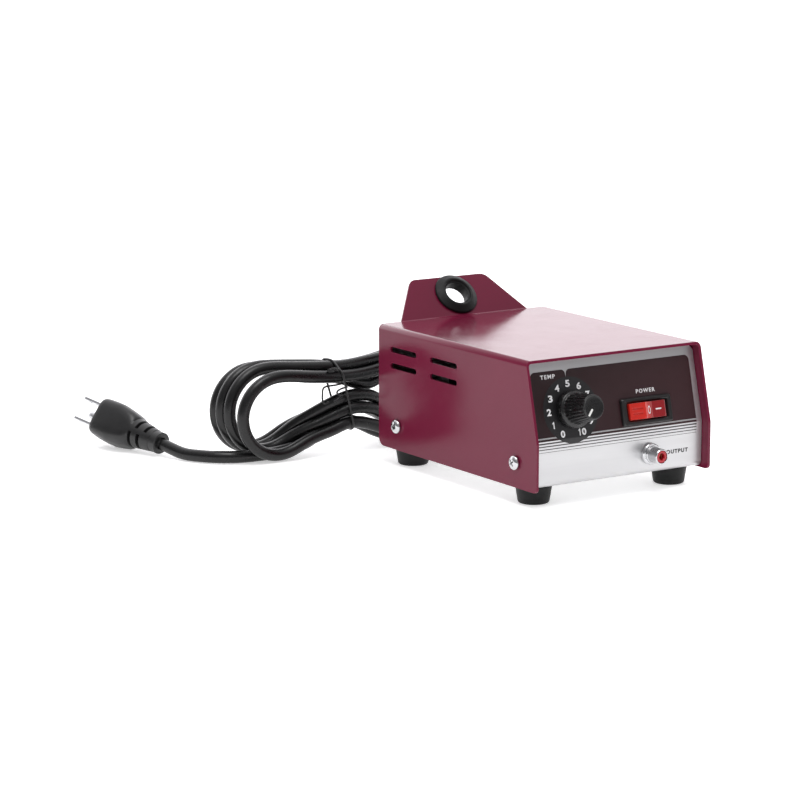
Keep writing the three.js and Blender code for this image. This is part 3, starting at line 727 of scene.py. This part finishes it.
def tie_band():
    """The wire's loop round the bundle, from where the runs lie."""
    reach = CORD_D / 2 + TIE_WIRE / 2
    rim = []
    for x, y, z in LEAD_LINE:
        if y > 95 and abs(x - tie_x(z)) < STEP * 0.6:
            rim += oval(reach, reach, 23, (y, z))
    band = [(tie_x(z), y, z) for y, z in hull(rim)]
    band = evenly(np.array(band + band[:1]), 1.5)[:-1]
    for _ in range(3):
        band = 0.5 * band + 0.25 * (np.roll(band, 1, 0) + np.roll(band, -1, 0))
    return band


def twisted(line, step, spread, turns_per_mm, phase):
    """Points that wind round a line given in even steps, for one strand of a twist."""
    out = []
    for i, p in enumerate(line):
        t = Vector(line[min(i + 1, len(line) - 1)] - line[max(i - 1, 0)]).normalized()
        side = t.cross(Vector((0.2, 1, 0.1))).normalized()
        over = t.cross(side)
        a = phase + 2 * pi * turns_per_mm * i * step
        out.append(Vector(p) + side * cos(a) * spread + over * sin(a) * spread)
    return out


def tie_wire(name, points, thickness=1.0, **more):
    return curve_piece(name, points, TIE_WIRE * thickness, "black_plastic", **more)


# The wire's two bent ends.
TIE_ENDS = [
    [(-66, 101.6, 41), (-72, 101.2, 40.6), (-78.2, 101, 40), (-79.2, 101, 37), (-79, 101.2, 32.5),
     (-77.5, 101.6, 30.6), (-74.5, 102, 31.2)],
    [(-62.5, 101.4, 38.6), (-66.5, 101.2, 38.2), (-69.5, 101.2, 36.4), (-67.6, 101.2, 34.6),
     (-65.4, 101.4, 34.4), (-68, 101.6, 32.4), (-71, 101.9, 31)],
]


def make_tie():
    """A plastic-covered wire tie: the loop, its twist, and its ends."""
    band = tie_band()
    knot = band[int(np.argmax(band[:, 2] - 0.8 * band[:, 1]))]
    core = evenly(knot + np.array([(-1.0, -0.6, -0.4), (-3.2, -1.4, 0.4), (-6.0, -1.6, 0.6),
                                   (-8.5, -1.2, -0.2)]), TWIST_STEP)
    pieces = [tie_wire("lead_tie", band, nodes=("cord_tie",), resolution=4, closed=True)]
    for k in (1, 2):
        strand = twisted(core, TWIST_STEP, 0.62, 0.3, pi * (k - 1))
        pieces.append(tie_wire(f"tie_twist_{k}", strand, 0.92, resolution=3))
    for k, end in enumerate(TIE_ENDS, 1):
        line = smooth_line(np.array(end), 0.6)
        pieces.append(tie_wire(f"tie_end_{k}", line, 0.85, resolution=3))
    return pieces


# -------- plug

PLUG_FACE = Vector((-166.0, 199.6, 15.2))
PLUG_TAIL = Vector((-153.3, 153.7, 7.0))
PLUG_LENGTH = (PLUG_FACE - PLUG_TAIL).length
PLUG_ROLL = radians(122)


def plug_frame():
    """Frame on the plug's face: Z out along the blades, rolled so that they stand one above the other."""
    out = (PLUG_FACE - PLUG_TAIL).normalized()
    right = Vector((0, 0, 1)).cross(out).normalized()
    up = out.cross(right)
    turn = Matrix.Rotation(PLUG_ROLL, 3, out)
    return frame_at(row(*PLUG_FACE), turn @ right, turn @ up, out)


# Along the plug, from its face back: z, half width, half height, squareness.
PLUG_SECTIONS = [
    (0.0, 10.2, 9.2, 4.2), (-0.3, 10.7, 9.7, 4.2), (-0.9, 11.1, 9.9, 4.2), (-3.0, 11.5, 10.1, 4.1),
    (-8.0, 11.8, 10.1, 4.0), (-14.0, 11.8, 10.1, 4.0), (-15.6, 11.6, 10.0, 3.8), (-20.0, 10.9, 9.8, 3.5),
    (-24.0, 10.1, 9.3, 3.4), (-26.5, 9.3, 8.9, 2.7), (-27.6, 8.9, 8.7, 2.3),
]
RELIEF_START, RELIEF_END = -28.0, 0.3 - PLUG_LENGTH
UPPER_SLOTS = (-32.2, -38.6)
LOWER_SLOTS = (-29.2, -35.2)


RING_POINTS = 72
COLLAR_R, COLLAR_LIP_R = 6.25, 5.9
SLOT_R = 4.7
TAIL_R = 3.6


def superellipse(a, b, power, z):
    """A ring between an ellipse, at power 2, and a rounded rectangle."""
    ring = []
    for x, y in oval(1, 1, RING_POINTS):
        ring.append((a * copysign(abs(x) ** (2 / power), x), b * copysign(abs(y) ** (2 / power), y), z))
    return ring


def relief_ring(z):
    """The strain relief at one place: a cone with staggered half slots, or its thick end collar."""
    full = 8.6 - 0.145 * (RELIEF_START - z)
    if z < RELIEF_END + 5.4:
        full = COLLAR_R
    if z < RELIEF_END + 0.5:
        full = COLLAR_LIP_R

    def radius_at(t):
        slots = UPPER_SLOTS if cos(t) > 0 else LOWER_SLOTS
        sunk = abs(cos(t)) > 0.2 and any(abs(z - middle) < 0.95 for middle in slots)
        return SLOT_R if sunk else full

    return polar_ring(radius_at, z, RING_POINTS)


BLADE_X, BLADE_Y = 6.35, -1.6
BLADE_THICKNESS = 1.5
PIN_Y = 8.7


def make_blade(at, name, x):
    outline = filleted([(-3.2, 17.9), (3.2, 17.9), (3.2, -6.0), (-3.2, -6.0)], [1.6, 1.6, 0, 0], 4)
    sides = [[(x + side * BLADE_THICKNESS / 2, BLADE_Y + u, v) for u, v in outline] for side in (-1, 1)]
    blade = mesh_piece(f"plug_blade_{name}_shaped", *loft(sides), at, "steel", nodes=(f"plug_blade_{name}",))
    hole = oval(1.55, 1.55, 24, (BLADE_Y, 13.6))
    carve(blade, *loft([[(x + side * 2, u, v) for u, v in hole] for side in (-1, 1)]), at)
    bevelled(blade, 0.22)
    return blade


def make_plug():
    """A moulded body that runs into its strain relief, two blades and a round pin."""
    at = plug_frame()
    rings = [superellipse(a, b, p, z) for z, a, b, p in PLUG_SECTIONS]
    rings += [relief_ring(RELIEF_START + (RELIEF_END - RELIEF_START) * k / 96) for k in range(97)]
    inner = TAIL_R / COLLAR_LIP_R
    rings.append([(inner * x, inner * y, z) for x, y, z in rings[-1]])
    rings.append([(x, y, z + 2.5) for x, y, z in rings[-1]])
    body = mesh_piece("plug_moulding", *loft(rings), at, "black_plastic", nodes=("plug_body",), sharp=40)
    blades = [make_blade(at, "left", -BLADE_X), make_blade(at, "right", BLADE_X)]
    profile = [(2.4, -6), (2.4, 16.8), (2.25, 18.0), (1.8, 18.9), (1.0, 19.4), (0.2, 19.5)]
    pin = mesh_piece("plug_pin_shaped", *turned(profile, 32, closed=False),
                     at @ Matrix.Translation((0, PIN_Y, 0)), "steel", nodes=("plug_ground_pin",))
    return [body, *blades, pin]


lead = make_lead()
on_lead = make_tie() + make_plug()


# -------- CAD nodes that keep their shape

def edge_finish(obj, width):
    """Modifiers that weld and clean a CAD mesh, then round its cut edges."""
    weld = obj.modifiers.new("weld", "WELD")
    weld.merge_threshold = 2e-6
    clean = obj.modifiers.new("clean", "DECIMATE")
    clean.decimate_type = "DISSOLVE"
    clean.angle_limit = radians(1)
    add_bevel(obj, width, 25)


def flat_faces(work, narrow):
    """Faces of the flat parts: wide ones, and those lying flush with them."""
    flat = {f for f in work.faces if f.calc_area() > narrow * max(e.calc_length() for e in f.edges)}
    front = list(flat)
    while front:
        face = front.pop()
        for edge in face.edges:
            for other in edge.link_faces:
                if other not in flat and other.normal.angle(face.normal, 9) < 0.002:
                    flat.add(other)
                    front.append(other)
    return flat


def corner_normal(face, vert, flat):
    """Flat faces shade flat, and bends and rounded edges run smoothly into them."""
    if face in flat:
        return face.normal
    meeting = [f.normal for f in vert.link_faces if f in flat and f.normal.angle(face.normal, 9) < 0.9]
    if meeting:
        return min(meeting, key=lambda n: n.angle(face.normal))
    near = [f.normal for f in vert.link_faces if f.normal.angle(face.normal, 9) < 0.7]
    return sum(near, Vector()).normalized() if near else face.normal


def pressed_part(node, name, width, slot):
    """A folded sheet part: the CAD shape with rounded cut edges and flats that shade flat."""
    source = NODES[node]
    edge_finish(source, width)
    mesh = evaluated_mesh(source)
    source.modifiers.clear()
    work = bmesh.new()
    work.from_mesh(mesh)
    bmesh.ops.remove_doubles(work, verts=work.verts, dist=1e-7)
    work.normal_update()
    flat = flat_faces(work, 0.95 * MM)
    normals = [tuple(corner_normal(f, v, flat)) for f in work.faces for v in f.verts]
    work.to_mesh(mesh)
    work.free()
    mesh.shade_smooth()
    mesh.normals_split_custom_set(normals)
    add_piece(name, mesh, slot, nodes=(node,))


ROUNDED_NODES = ("transformer_core", "transformer_coil", "transformer_base", "heat_sink", "triac",
                 "suppression_capacitor", "fuse_holder", "circuit_board", "potentiometer", "jack_nut")


def dress_nodes():
    """Every CAD node takes its slot's material, and some have their edges rounded."""
    for name, obj in NODES.items():
        for holder in obj.material_slots:
            key = holder.material.name.split(".")[0] if holder.material else ""
            if key in FINISH:
                holder.material = FINISH[key]
    pressed_part("top_cover", "pressed_cover", 0.22, "maroon_paint")
    pressed_part("chassis", "pressed_chassis", 0.2, "panel_metal")
    for name in ROUNDED_NODES:
        edge_finish(NODES[name], 0.25)
        even_normals(NODES[name])


dress_nodes()


# -------- case hardware

RECESS_REACH, RECESS_WIDTH, RECESS_DEPTH = 2.2, 0.42, 1.5


def cross_cutters(top):
    """A tapering driver recess as two crossed wedges, each wider at its mouth than at its foot."""
    foot_reach = RECESS_REACH * 0.45
    for mouth, foot in (((RECESS_REACH, RECESS_WIDTH), (foot_reach, RECESS_WIDTH * 0.6)),
                        ((RECESS_WIDTH, RECESS_REACH), (0.3, foot_reach))):
        yield loft([at_height(rectangle(*foot), top - RECESS_DEPTH), at_height(rectangle(*mouth), top + 0.5)])


def pan_screw(name, at, nodes, shank, head_r=3.9, head_h=2.4):
    """Pan head with a cross recess; local Z is out along the head."""
    profile = [(0.01, -shank), (1.75, -shank), (1.75, -0.2), (head_r - 0.25, 0.02), (head_r, 0.25),
               (head_r, 0.9), (head_r - 0.25, 1.45), (head_r - 0.85, 1.95), (head_r - 1.9, head_h - 0.1),
               (0.9, head_h), (0.01, head_h)]
    screw = mesh_piece(name, *turned(profile, 48, closed=False), at, "chrome", nodes=nodes, sharp=40)
    for cutter in cross_cutters(head_h):
        carve(screw, *cutter, at)
    soften(screw.data, 35)
    screw.data.materials.clear()
    screw.data.materials.append(FINISH["chrome"])


SCREW_SEAT_X = 57.8


def make_cover_screws():
    """One at each end of each side, each stopped at its own turn."""
    for side, sign in (("left", -1), ("right", 1)):
        for end, turn in (("front", -35), ("rear", 15)):
            node = f"cover_screw_{end}_{side}"
            low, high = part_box(node)
            out = Vector((sign, 0, 0))
            along = Vector((0, cos(radians(turn)), sin(radians(turn))))
            middle = (low + high) / 2
            middle.x = sign * SCREW_SEAT_X * MM
            at = frame_at(middle, along, out.cross(along), out)
            pan_screw(f"side_screw_{end}_{side}", at, (node,), 6.8)


FOOT_X = 45
FOOT_YS = {"front": -56, "rear": 60}


def make_feet():
    """Tapered rubber feet, hollow underneath for the screw's head."""
    profile = filleted([(2.1, 10.2), (10, 10.2), (8.35, 0), (4.7, 0), (4.7, 4.6), (2.1, 4.6)],
                       [0.2, 0.7, 1.5, 0.5, 0.2, 0.2], 5)
    for side, x in (("left", -FOOT_X), ("right", FOOT_X)):
        for end, y in FOOT_YS.items():
            at = Matrix.Translation(row(x, y, 0)) @ Matrix.Scale(MM, 4)
            mesh_piece(f"rubber_foot_{end}_{side}", *turned(profile, 72), at, "rubber",
                       nodes=(f"foot_{end}_{side}",), sharp=50)


def make_grommet():
    """A ring with a round lip on each side of the flap, in its leaning hole."""
    low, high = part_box("holder_grommet")
    at = leaning((low + high) / 2, FLAP_LEAN)
    half = [(10.0, 0.95), (12.4, 0.95), (13.0, 1.25), (13.0, 1.75), (12.6, 2.3), (9.4, 4.25), (8.7, 4.4),
            (8.1, 4.1), (7.9, 3.5), (7.5, 3.2), (7.3, 3.1), (6.85, 2.8)]
    profile = filleted(half + [(r, -z) for r, z in reversed(half)], 0.3, 3)
    mesh_piece("pen_rest_grommet", *turned(profile, 80), at, "rubber", nodes=("holder_grommet",), sharp=60)


def make_strain_relief():
    """A flanged bush with a ribbed tail that thins along the lead."""
    at = frame_at(row(38, 73, 23), (1, 0, 0), (0, 0, -1), (0, 1, 0))
    outer = [(7.2, -3.8), (7.2, 0.3), (9.0, 0.3), (9.0, 2.8), (7.4, 3.6)]
    for k in range(6):
        r, z = 7.1 - 0.33 * k, 5.2 + 3.1 * k
        outer += [(r, z), (r - 1.5, z + 0.25), (r - 1.55, z + 1.15), (r - 0.1, z + 1.4)]
    outer += [(5.3, 24.4), (5.0, 25.0), (3.9, 25.0), (3.75, 24.2)]
    profile = filleted(outer + [(3.75, -3.8)], 0.25, 2)
    mesh_piece("lead_bush", *turned(profile, 64), at, "black_plastic", nodes=("strain_relief",), sharp=45)


make_cover_screws()
make_feet()
make_grommet()
make_strain_relief()


# -------- temperature knob

KNOB_AT = PANEL @ Matrix.Translation((DIAL[0], DIAL[1], 0))
FLUTES = 24
POINTER_TURN = radians(140)


def fluted(radius, depth, z):
    """A ring with shallow flutes."""
    return polar_ring(lambda t: radius - depth * (0.5 + 0.5 * cos(FLUTES * t)) ** 1.6, z, FLUTES * 8)


def make_knob():
    """Skirt, fluted grip and a dished face, hollow behind round the shaft."""
    stack = [(3.1, 0, 14.2), (3.1, 0, 5.7), (7.8, 0, 5.6), (7.9, 0, 1.2), (9.4, 0, 1.2), (9.75, 0, 1.4),
             (9.9, 0, 1.9), (9.9, 0, 4.5), (9.75, 0, 5.1), (9.35, 0, 5.5), (8.75, 0, 5.7), (8.5, 0.10, 5.95),
             (8.4, 0.40, 6.5), (8.2, 0.46, 8.5), (7.6, 0.46, 13.0), (6.9, 0.44, 18.5), (6.75, 0.38, 19.6),
             (6.65, 0.18, 20.3), (6.5, 0.04, 20.75), (6.3, 0, 20.95), (6.1, 0, 21.0), (5.9, 0, 20.95),
             (5.8, 0, 20.85), (5.6, 0, 20.8), (3.0, 0, 20.75), (0.02, 0, 20.75)]
    mesh_piece("dial_knob", *loft([fluted(r, d, z) for r, d, z in stack]), KNOB_AT, "knob_plastic", "knob",
               ("temperature_knob",), sharp=50)


def make_pointer():
    """A white bar let into the knob's face."""
    start, end, half = 1.5, 6.1, 0.55
    middle = (start + end) / 2
    across = Vector((cos(POINTER_TURN), sin(POINTER_TURN), 0))
    along = Vector((-sin(POINTER_TURN), cos(POINTER_TURN), 0))
    outline = filleted([(-half, start), (half, start), (half, end), (-half, end)], 0.35, 3)
    rings = [[across * x * k + along * ((y - middle) * k + middle) + Vector((0, 0, z)) for x, y in outline]
             for k, z in ((1, 20.5), (1, 20.92), (0.85, 20.98))]
    mesh_piece("dial_pointer", *loft(rings), KNOB_AT, "pointer_white", "knob", ("knob_pointer",))


make_knob()
make_pointer()


# -------- power switch

SWITCH_AT = PANEL @ Matrix.Translation((SWITCH[0], SWITCH[1], 0))
ROCK = radians(10)


def make_bezel():
    """Housing behind the panel, flange and chamfered bezel, and the well the rocker sits in."""
    stack = [(28.2, 11.8, 0.6, -15), (28.2, 11.8, 0.6, 0.05), (33.0, 14.8, 1.2, 0.05), (33.0, 14.8, 1.2, 1.1),
             (32.7, 14.5, 1.2, 1.5), (31.9, 13.7, 1.1, 2.05), (31.5, 13.3, 1.0, 2.2), (27.8, 10.9, 0.8, 2.2),
             (27.3, 10.4, 0.7, 2.05), (26.5, 9.7, 0.6, 1.2), (26.2, 9.4, 0.5, 0.8), (26.2, 9.4, 0.5, -8)]
    mesh_piece("switch_bezel", *loft([round_rect(w, h, r, z) for w, h, r, z in stack]), SWITCH_AT,
               "black_plastic", nodes=("switch_housing",), sharp=28)


SLOPE = [Vector(p) for p in ((-12.6, 0.4), (-11.7, 1.75), (-8.75, 6.15), (-8, 7.2))]
ROCKER_LINE = SLOPE + [Vector(p) for p in (
    (-7.2, 7.3), (0, 4.9), (7.2, 7.3), (8, 7.2), (12.6, 0.4), (11.4, -2.2), (3, -3.6), (-3, -3.6),
    (-11.4, -2.2))]
ROCKER_RADII = [0.4, 0, 0, 0, 0, 0.4, 0.5, 2.0, 0.5, 0.5, 0.5, 0.3, 0, 0, 0.3]
GROOVE_LIP = 0.12


def rocker_section(across, sunk):
    """The rocker's side view at one place across it; sunk lowers the grooves in its lit slope."""
    foot, start, end, crest = SLOPE
    inward = Vector((0.83, -0.56)) * sunk
    line = [foot, start - (start - foot).normalized() * GROOVE_LIP, start + inward, end + inward,
            end + (crest - end).normalized() * GROOVE_LIP, *ROCKER_LINE[3:]]
    turn = Matrix.Rotation(-ROCK, 2)
    out = []
    for x, z in filleted(line, ROCKER_RADII, 4):
        p = turn @ Vector((x, z))
        out.append((p.x, across, p.y))
    return out


ROCKER_WIDTH = 8.8
GROOVES_AT = (-1.35, 1.35)
GROOVE_HALF = 0.42
GROOVE_DEPTH = 0.55


def make_rocker():
    """The rocker, lofted across from section to section, with two grooves in its lit slope."""
    stations = [(-ROCKER_WIDTH / 2, 0)]
    for middle in GROOVES_AT:
        stations += [(middle - GROOVE_HALF - 0.1, 0), (middle - GROOVE_HALF, GROOVE_DEPTH),
                     (middle + GROOVE_HALF, GROOVE_DEPTH), (middle + GROOVE_HALF + 0.1, 0)]
    stations.append((ROCKER_WIDTH / 2, 0))
    obj = mesh_piece("power_rocker", *loft([rocker_section(a, s) for a, s in stations]), SWITCH_AT,
                     "rocker_red", "rocker", ("switch_rocker",), sharp=25)
    bevelled(obj, 0.12, 50)


def facet_frame(x0, z0, x1, z1):
    """Frame on a facet of the rocker between two points of its side view."""
    turn = Matrix.Rotation(-ROCK, 2)
    a, b = turn @ Vector((x0, z0)), turn @ Vector((x1, z1))
    right = Vector((b.x - a.x, 0, b.y - a.y)).normalized()
    up = Vector((0, 1, 0))
    out = right.cross(up)
    m = Matrix((right, up, out)).transposed().to_4x4()
    m.translation = Vector(((a.x + b.x) / 2, 0, (a.y + b.y) / 2))
    return SWITCH_AT @ m


def make_rocker_marks():
    """A ring for off and a bar for on, printed on the two inner facets."""
    at = facet_frame(-7.2, 7.3, 0, 4.9)
    ring = [at_height(oval(1.55 * size, 2.15 * size, 48), z)
            for size, z in ((1, -0.05), (1, 0.08), (0.74, 0.08), (0.74, -0.05))]
    mesh_piece("rocker_mark_off", *loft(ring, closed=True), at, "rocker_red", "rocker", material=INK["white"])
    at = facet_frame(0, 4.9, 7.2, 7.3)
    bar = [round_rect(3.4, 0.75, 0.2, z, 2) for z in (-0.05, 0.08)]
    mesh_piece("rocker_mark_on", *loft(bar), at, "rocker_red", "rocker", material=INK["white"])


make_bezel()
make_rocker()
make_rocker_marks()


# -------- output socket

JACK_AT = leaning(row(JACK[0], PANEL_Y, JACK[1]), 0)


def make_jack():
    """A phono socket: turned shell, red insulator and the sleeve that takes the plug's pin."""
    shell = filleted([(1.9, -9), (3.0, -9), (3.0, 0.05), (5.8, 0.05), (5.8, 1.7), (5.25, 2.4), (4.55, 2.4),
                      (4.55, 3.4), (4.15, 3.7), (4.15, 10.4), (3.85, 11.0), (3.45, 11.0), (3.35, 10.4),
                      (3.35, 2.2), (1.9, 2.2)], 0.22, 3)
    ring = filleted([(1.75, 2.5), (3.3, 2.5), (3.3, 10.5), (3.0, 10.8), (2.0, 10.8), (1.75, 10.4)], 0.2, 3)
    sleeve = filleted([(1.05, 3.0), (1.5, 3.0), (1.5, 7.4), (1.05, 7.4)], 0.12, 2)
    for name, profile, n, slot, node in (("shell", shell, 72, "chrome", "jack_shell"),
                                              ("insulator", ring, 56, "insulator_red", "jack_insulator"),
                                              ("sleeve", sleeve, 40, "brass", "jack_contact")):
        mesh_piece("socket_" + name, *turned(profile, n), JACK_AT, slot, nodes=(node,), sharp=40)


make_jack()


# -------- panel print

BEND_R = 3.0
BEND_REACH = BEND_R * tan(TILT / 2)


def on_panel(x, t, lift):
    """A point on the front panel in mm, t measured up from its bend and lift out from the metal."""
    if t >= BEND_REACH:
        return PANEL @ Vector((x, t, lift))
    if t <= -BEND_REACH:
        return row(x, PANEL_Y - lift, BEND_Z + t)
    a = TILT * (t + BEND_REACH) / (2 * BEND_REACH)
    r = BEND_R + lift
    return row(x, PANEL_Y + BEND_R - r * cos(a), BEND_Z - BEND_REACH + r * sin(a))


def flat_shape(outlines):
    """A filled 2-D mesh from closed outlines; an outline inside another is a hole."""
    data = bpy.data.curves.new("flat", "CURVE")
    data.dimensions = "2D"
    data.fill_mode = "BOTH"
    for outline in outlines:
        line = data.splines.new("POLY")
        line.points.add(len(outline) - 1)
        for target, (x, y) in zip(line.points, outline):
            target.co = (x, y, 0, 1)
        line.use_cyclic_u = True
    return flat_mesh(data)


def flat_mesh(data):
    obj = add_object("flat", data)
    mesh = evaluated_mesh(obj)
    bpy.data.objects.remove(obj)
    return mesh


def printed(name, mesh, ink, low, high, shift=(0, 0)):
    """Wraps a flat mesh on the panel as a thin closed film between two heights in millimetres."""
    work = bmesh.new()
    work.from_mesh(mesh)
    bpy.data.meshes.remove(mesh)
    bmesh.ops.translate(work, verts=work.verts, vec=(shift[0], shift[1], 0))
    bmesh.ops.remove_doubles(work, verts=work.verts, dist=1e-3)
    bmesh.ops.dissolve_degenerate(work, edges=work.edges, dist=1e-4)
    for cut in (-BEND_REACH, -BEND_REACH / 3, BEND_REACH / 3, BEND_REACH):
        bmesh.ops.bisect_plane(work, geom=work.verts[:] + work.edges[:] + work.faces[:],
                               plane_co=(0, cut, 0), plane_no=(0, 1, 0))
    for v in work.verts:
        v.co.z = low
    top = bmesh.ops.extrude_face_region(work, geom=work.faces[:], use_keep_orig=True)
    for item in top["geom"]:
        if isinstance(item, bmesh.types.BMVert):
            item.co.z = high
    for v in work.verts:
        v.co = on_panel(*v.co)
    bmesh.ops.recalc_face_normals(work, faces=work.faces)
    out = bpy.data.meshes.new(name)
    work.to_mesh(out)
    work.free()
    soften(out, 30)
    add_piece(name, out, "panel_metal", material=INK[ink])


def lettering(text, width, height, weight=0.0, spacing=1.0):
    """Flat text centred on the origin, fitted to a width and height in millimetres."""
    data = bpy.data.curves.new("lettering", "FONT")
    data.body = text
    data.size = height * 1.4
    data.offset = weight
    data.space_character = spacing
    data.align_x = "CENTER"
    data.resolution_u = 6
    mesh = flat_mesh(data)
    xs = [v.co.x for v in mesh.vertices]
    ys = [v.co.y for v in mesh.vertices]
    size = (max(xs) - min(xs), max(ys) - min(ys))
    middle = ((max(xs) + min(xs)) / 2, (max(ys) + min(ys)) / 2)
    for v in mesh.vertices:
        v.co.x = (v.co.x - middle[0]) * width / size[0]
        v.co.y = (v.co.y - middle[1]) * height / size[1]
    return mesh


PRINT_LEFT, PRINT_RIGHT = -52.6, 52.1
PRINT_LOW, PRINT_HIGH = 1.65, 36.3
NOTCH_X = -29.8
# The lines under the dark area thin out downwards: top and bottom of each, up the panel from its bend.
PRINT_LINES = [(0.85, -0.3, "maroon"), (-1.0, -1.8, "grey"), (-2.65, -3.25, "grey"),
               (-4.3, -4.75, "grey"), (-5.95, -6.15, "grey")]


def make_print_area():
    """The dark area with its notch over the dial, and the lines below it."""
    outline = filleted([(PRINT_LEFT, PRINT_LOW), (PRINT_RIGHT, PRINT_LOW), (PRINT_RIGHT, PRINT_HIGH),
                        (NOTCH_X + 0.6, PRINT_HIGH), (NOTCH_X, 31.9), (NOTCH_X - 0.6, PRINT_HIGH),
                        (PRINT_LEFT, PRINT_HIGH)], [0, 0, 3, 3.2, 0, 3.2, 3], 6)
    printed("print_area", flat_shape([outline]), "maroon", 0.02, 0.08)
    for k, (top, bottom, ink) in enumerate(PRINT_LINES):
        line = [(PRINT_LEFT, bottom), (PRINT_RIGHT, bottom), (PRINT_RIGHT, top), (PRINT_LEFT, top)]
        printed(f"print_line_{k + 1}", flat_shape([line]), ink, 0.02, 0.08)


DISC_R, DISC_BORE_R = 17.6, 5.0
NUMBERS_R = 14.0
ZERO_TURN, NUMBER_STEP = 240, 30        # degrees
FIGURE_WIDTH, FIGURE_HEIGHT, FIGURE_WEIGHT = 2.8, 3.7, 0.17


def figure_one():
    """The figure one with its flag, as tall as the others, centred on the origin."""
    return flat_shape([[(-0.19, -1.85), (0.41, -1.85), (0.41, 1.85), (0.0, 1.85), (-0.22, 1.5), (-0.8, 1.12),
                        (-0.8, 0.6), (-0.19, 0.92)]])


def figure(digit):
    if digit == 1:
        return figure_one()
    return lettering(str(digit), FIGURE_WIDTH, FIGURE_HEIGHT, FIGURE_WEIGHT)


def make_dial_print():
    """A black disc behind the knob and the numbers 0 to 10 round it, 30 degrees apart."""
    disc = [oval(DISC_R, DISC_R, 96, DIAL), oval(DISC_BORE_R, DISC_BORE_R, 48, DIAL)]
    printed("dial_disc", flat_shape(disc), "black", 0.08, 0.14)
    for number in range(11):
        a = radians(ZERO_TURN - NUMBER_STEP * number)
        x, y = DIAL[0] + NUMBERS_R * cos(a), DIAL[1] + NUMBERS_R * sin(a)
        name = f"dial_number_{number}"
        signs = [(name, number, x)] if number < 10 else [(name, 1, x - 3.1), (name + "_nought", 0, x - 0.3)]
        for sign, digit, left in signs:
            printed(sign, figure(digit), "white", 0.14, 0.19, (left, y))


# Each word: width, height, thickening, letter spacing, ink, heights of its film, and place on the panel.
WORDS = {
    "TEMP": (9.4, 2.2, 0.08, 1.25, "white", 0.08, 0.13, (-41.5, 33.3)),
    "POWER": (12.6, 2.2, 0.08, 1.3, "white", 0.08, 0.13, (20.6, 20.0)),
    "OUTPUT": (14.6, 2.3, 0.13, 1.25, "black", 0.02, 0.07, (39.1, 20.6 - BEND_Z)),
}

make_print_area()
make_dial_print()
for word, (width, height, weight, spacing, *film) in WORDS.items():
    printed("word_" + word.lower(), lettering(word, width, height, weight, spacing), *film)


# -------- stage and light

def make_floor():
    """A wide white floor that gives off a little light of its own."""
    data = bpy.data.meshes.new("floor")
    data.from_pydata(at_height(rectangle(12, 12), 0), [], [(0, 1, 2, 3)])
    mat, _, shader = new_material("floor_white")
    feed(shader, {"Base Color": (0.92, 0.92, 0.92, 1), "Roughness": 0.55, "Specular IOR Level": 0.2,
                  "Emission Color": (1, 1, 1, 1), "Emission Strength": 0.5})
    data.materials.append(mat)
    floor = add_object("floor", data)
    floor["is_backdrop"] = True


def ramp(tree, value, start, end, low, high):
    return between(tree, value, low, high, start, end, "SMOOTHSTEP")


def make_world():
    """A white backdrop glowing behind the unit, a dim room in front, and some light from above."""
    world = bpy.data.worlds.new("studio")
    scene.world = world
    world.use_nodes = True
    tree = world.node_tree
    way = add_node(tree, "TexCoord").outputs["Generated"]
    x, y, z = add_node(tree, "SeparateXYZ", {0: way}).outputs
    behind = maths(tree, "ADD", maths(tree, "MULTIPLY", x, 0.54), maths(tree, "MULTIPLY", y, 0.84))
    glow = maths(tree, "MULTIPLY", ramp(tree, behind, 0.0, 0.65, 0, 1.75), ramp(tree, z, 0.25, 0.9, 1, 0.45))
    above = ramp(tree, z, 0.45, 0.9, 0, 0.55)
    room = maths(tree, "ADD", 0.3, maths(tree, "ADD", glow, above))
    seen = add_node(tree, "LightPath").outputs["Is Camera Ray"]
    shown = add_node(tree, "Mix", {0: seen, 2: room, 3: 1.1}, data_type="FLOAT").outputs[0]
    feed(tree.nodes["Background"], {"Strength": shown, "Color": (0.985, 0.975, 1, 1)})


def make_softbox():
    """One large light above and a little in front of the unit."""
    place_at, aim = Vector((-0.3, -0.25, 1.5)), Vector((-0.02, 0.02, 0.04))
    data = bpy.data.lights.new("overhead", "AREA")
    data.shape = "RECTANGLE"
    data.size = data.size_y = 0.8
    data.energy = 9.5
    light = add_object("overhead", data)
    light.location = place_at
    light.rotation_euler = (aim - place_at).to_track_quat("-Z", "Y").to_euler()


make_floor()
make_world()
make_softbox()

scene.view_settings.view_transform = "Standard"


def write_sizes():
    boxes = {"cad": cad_box, "visual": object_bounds()}
    {key: [list(low), list(high)] for key, (low, high) in boxes.items()}


write_sizes()
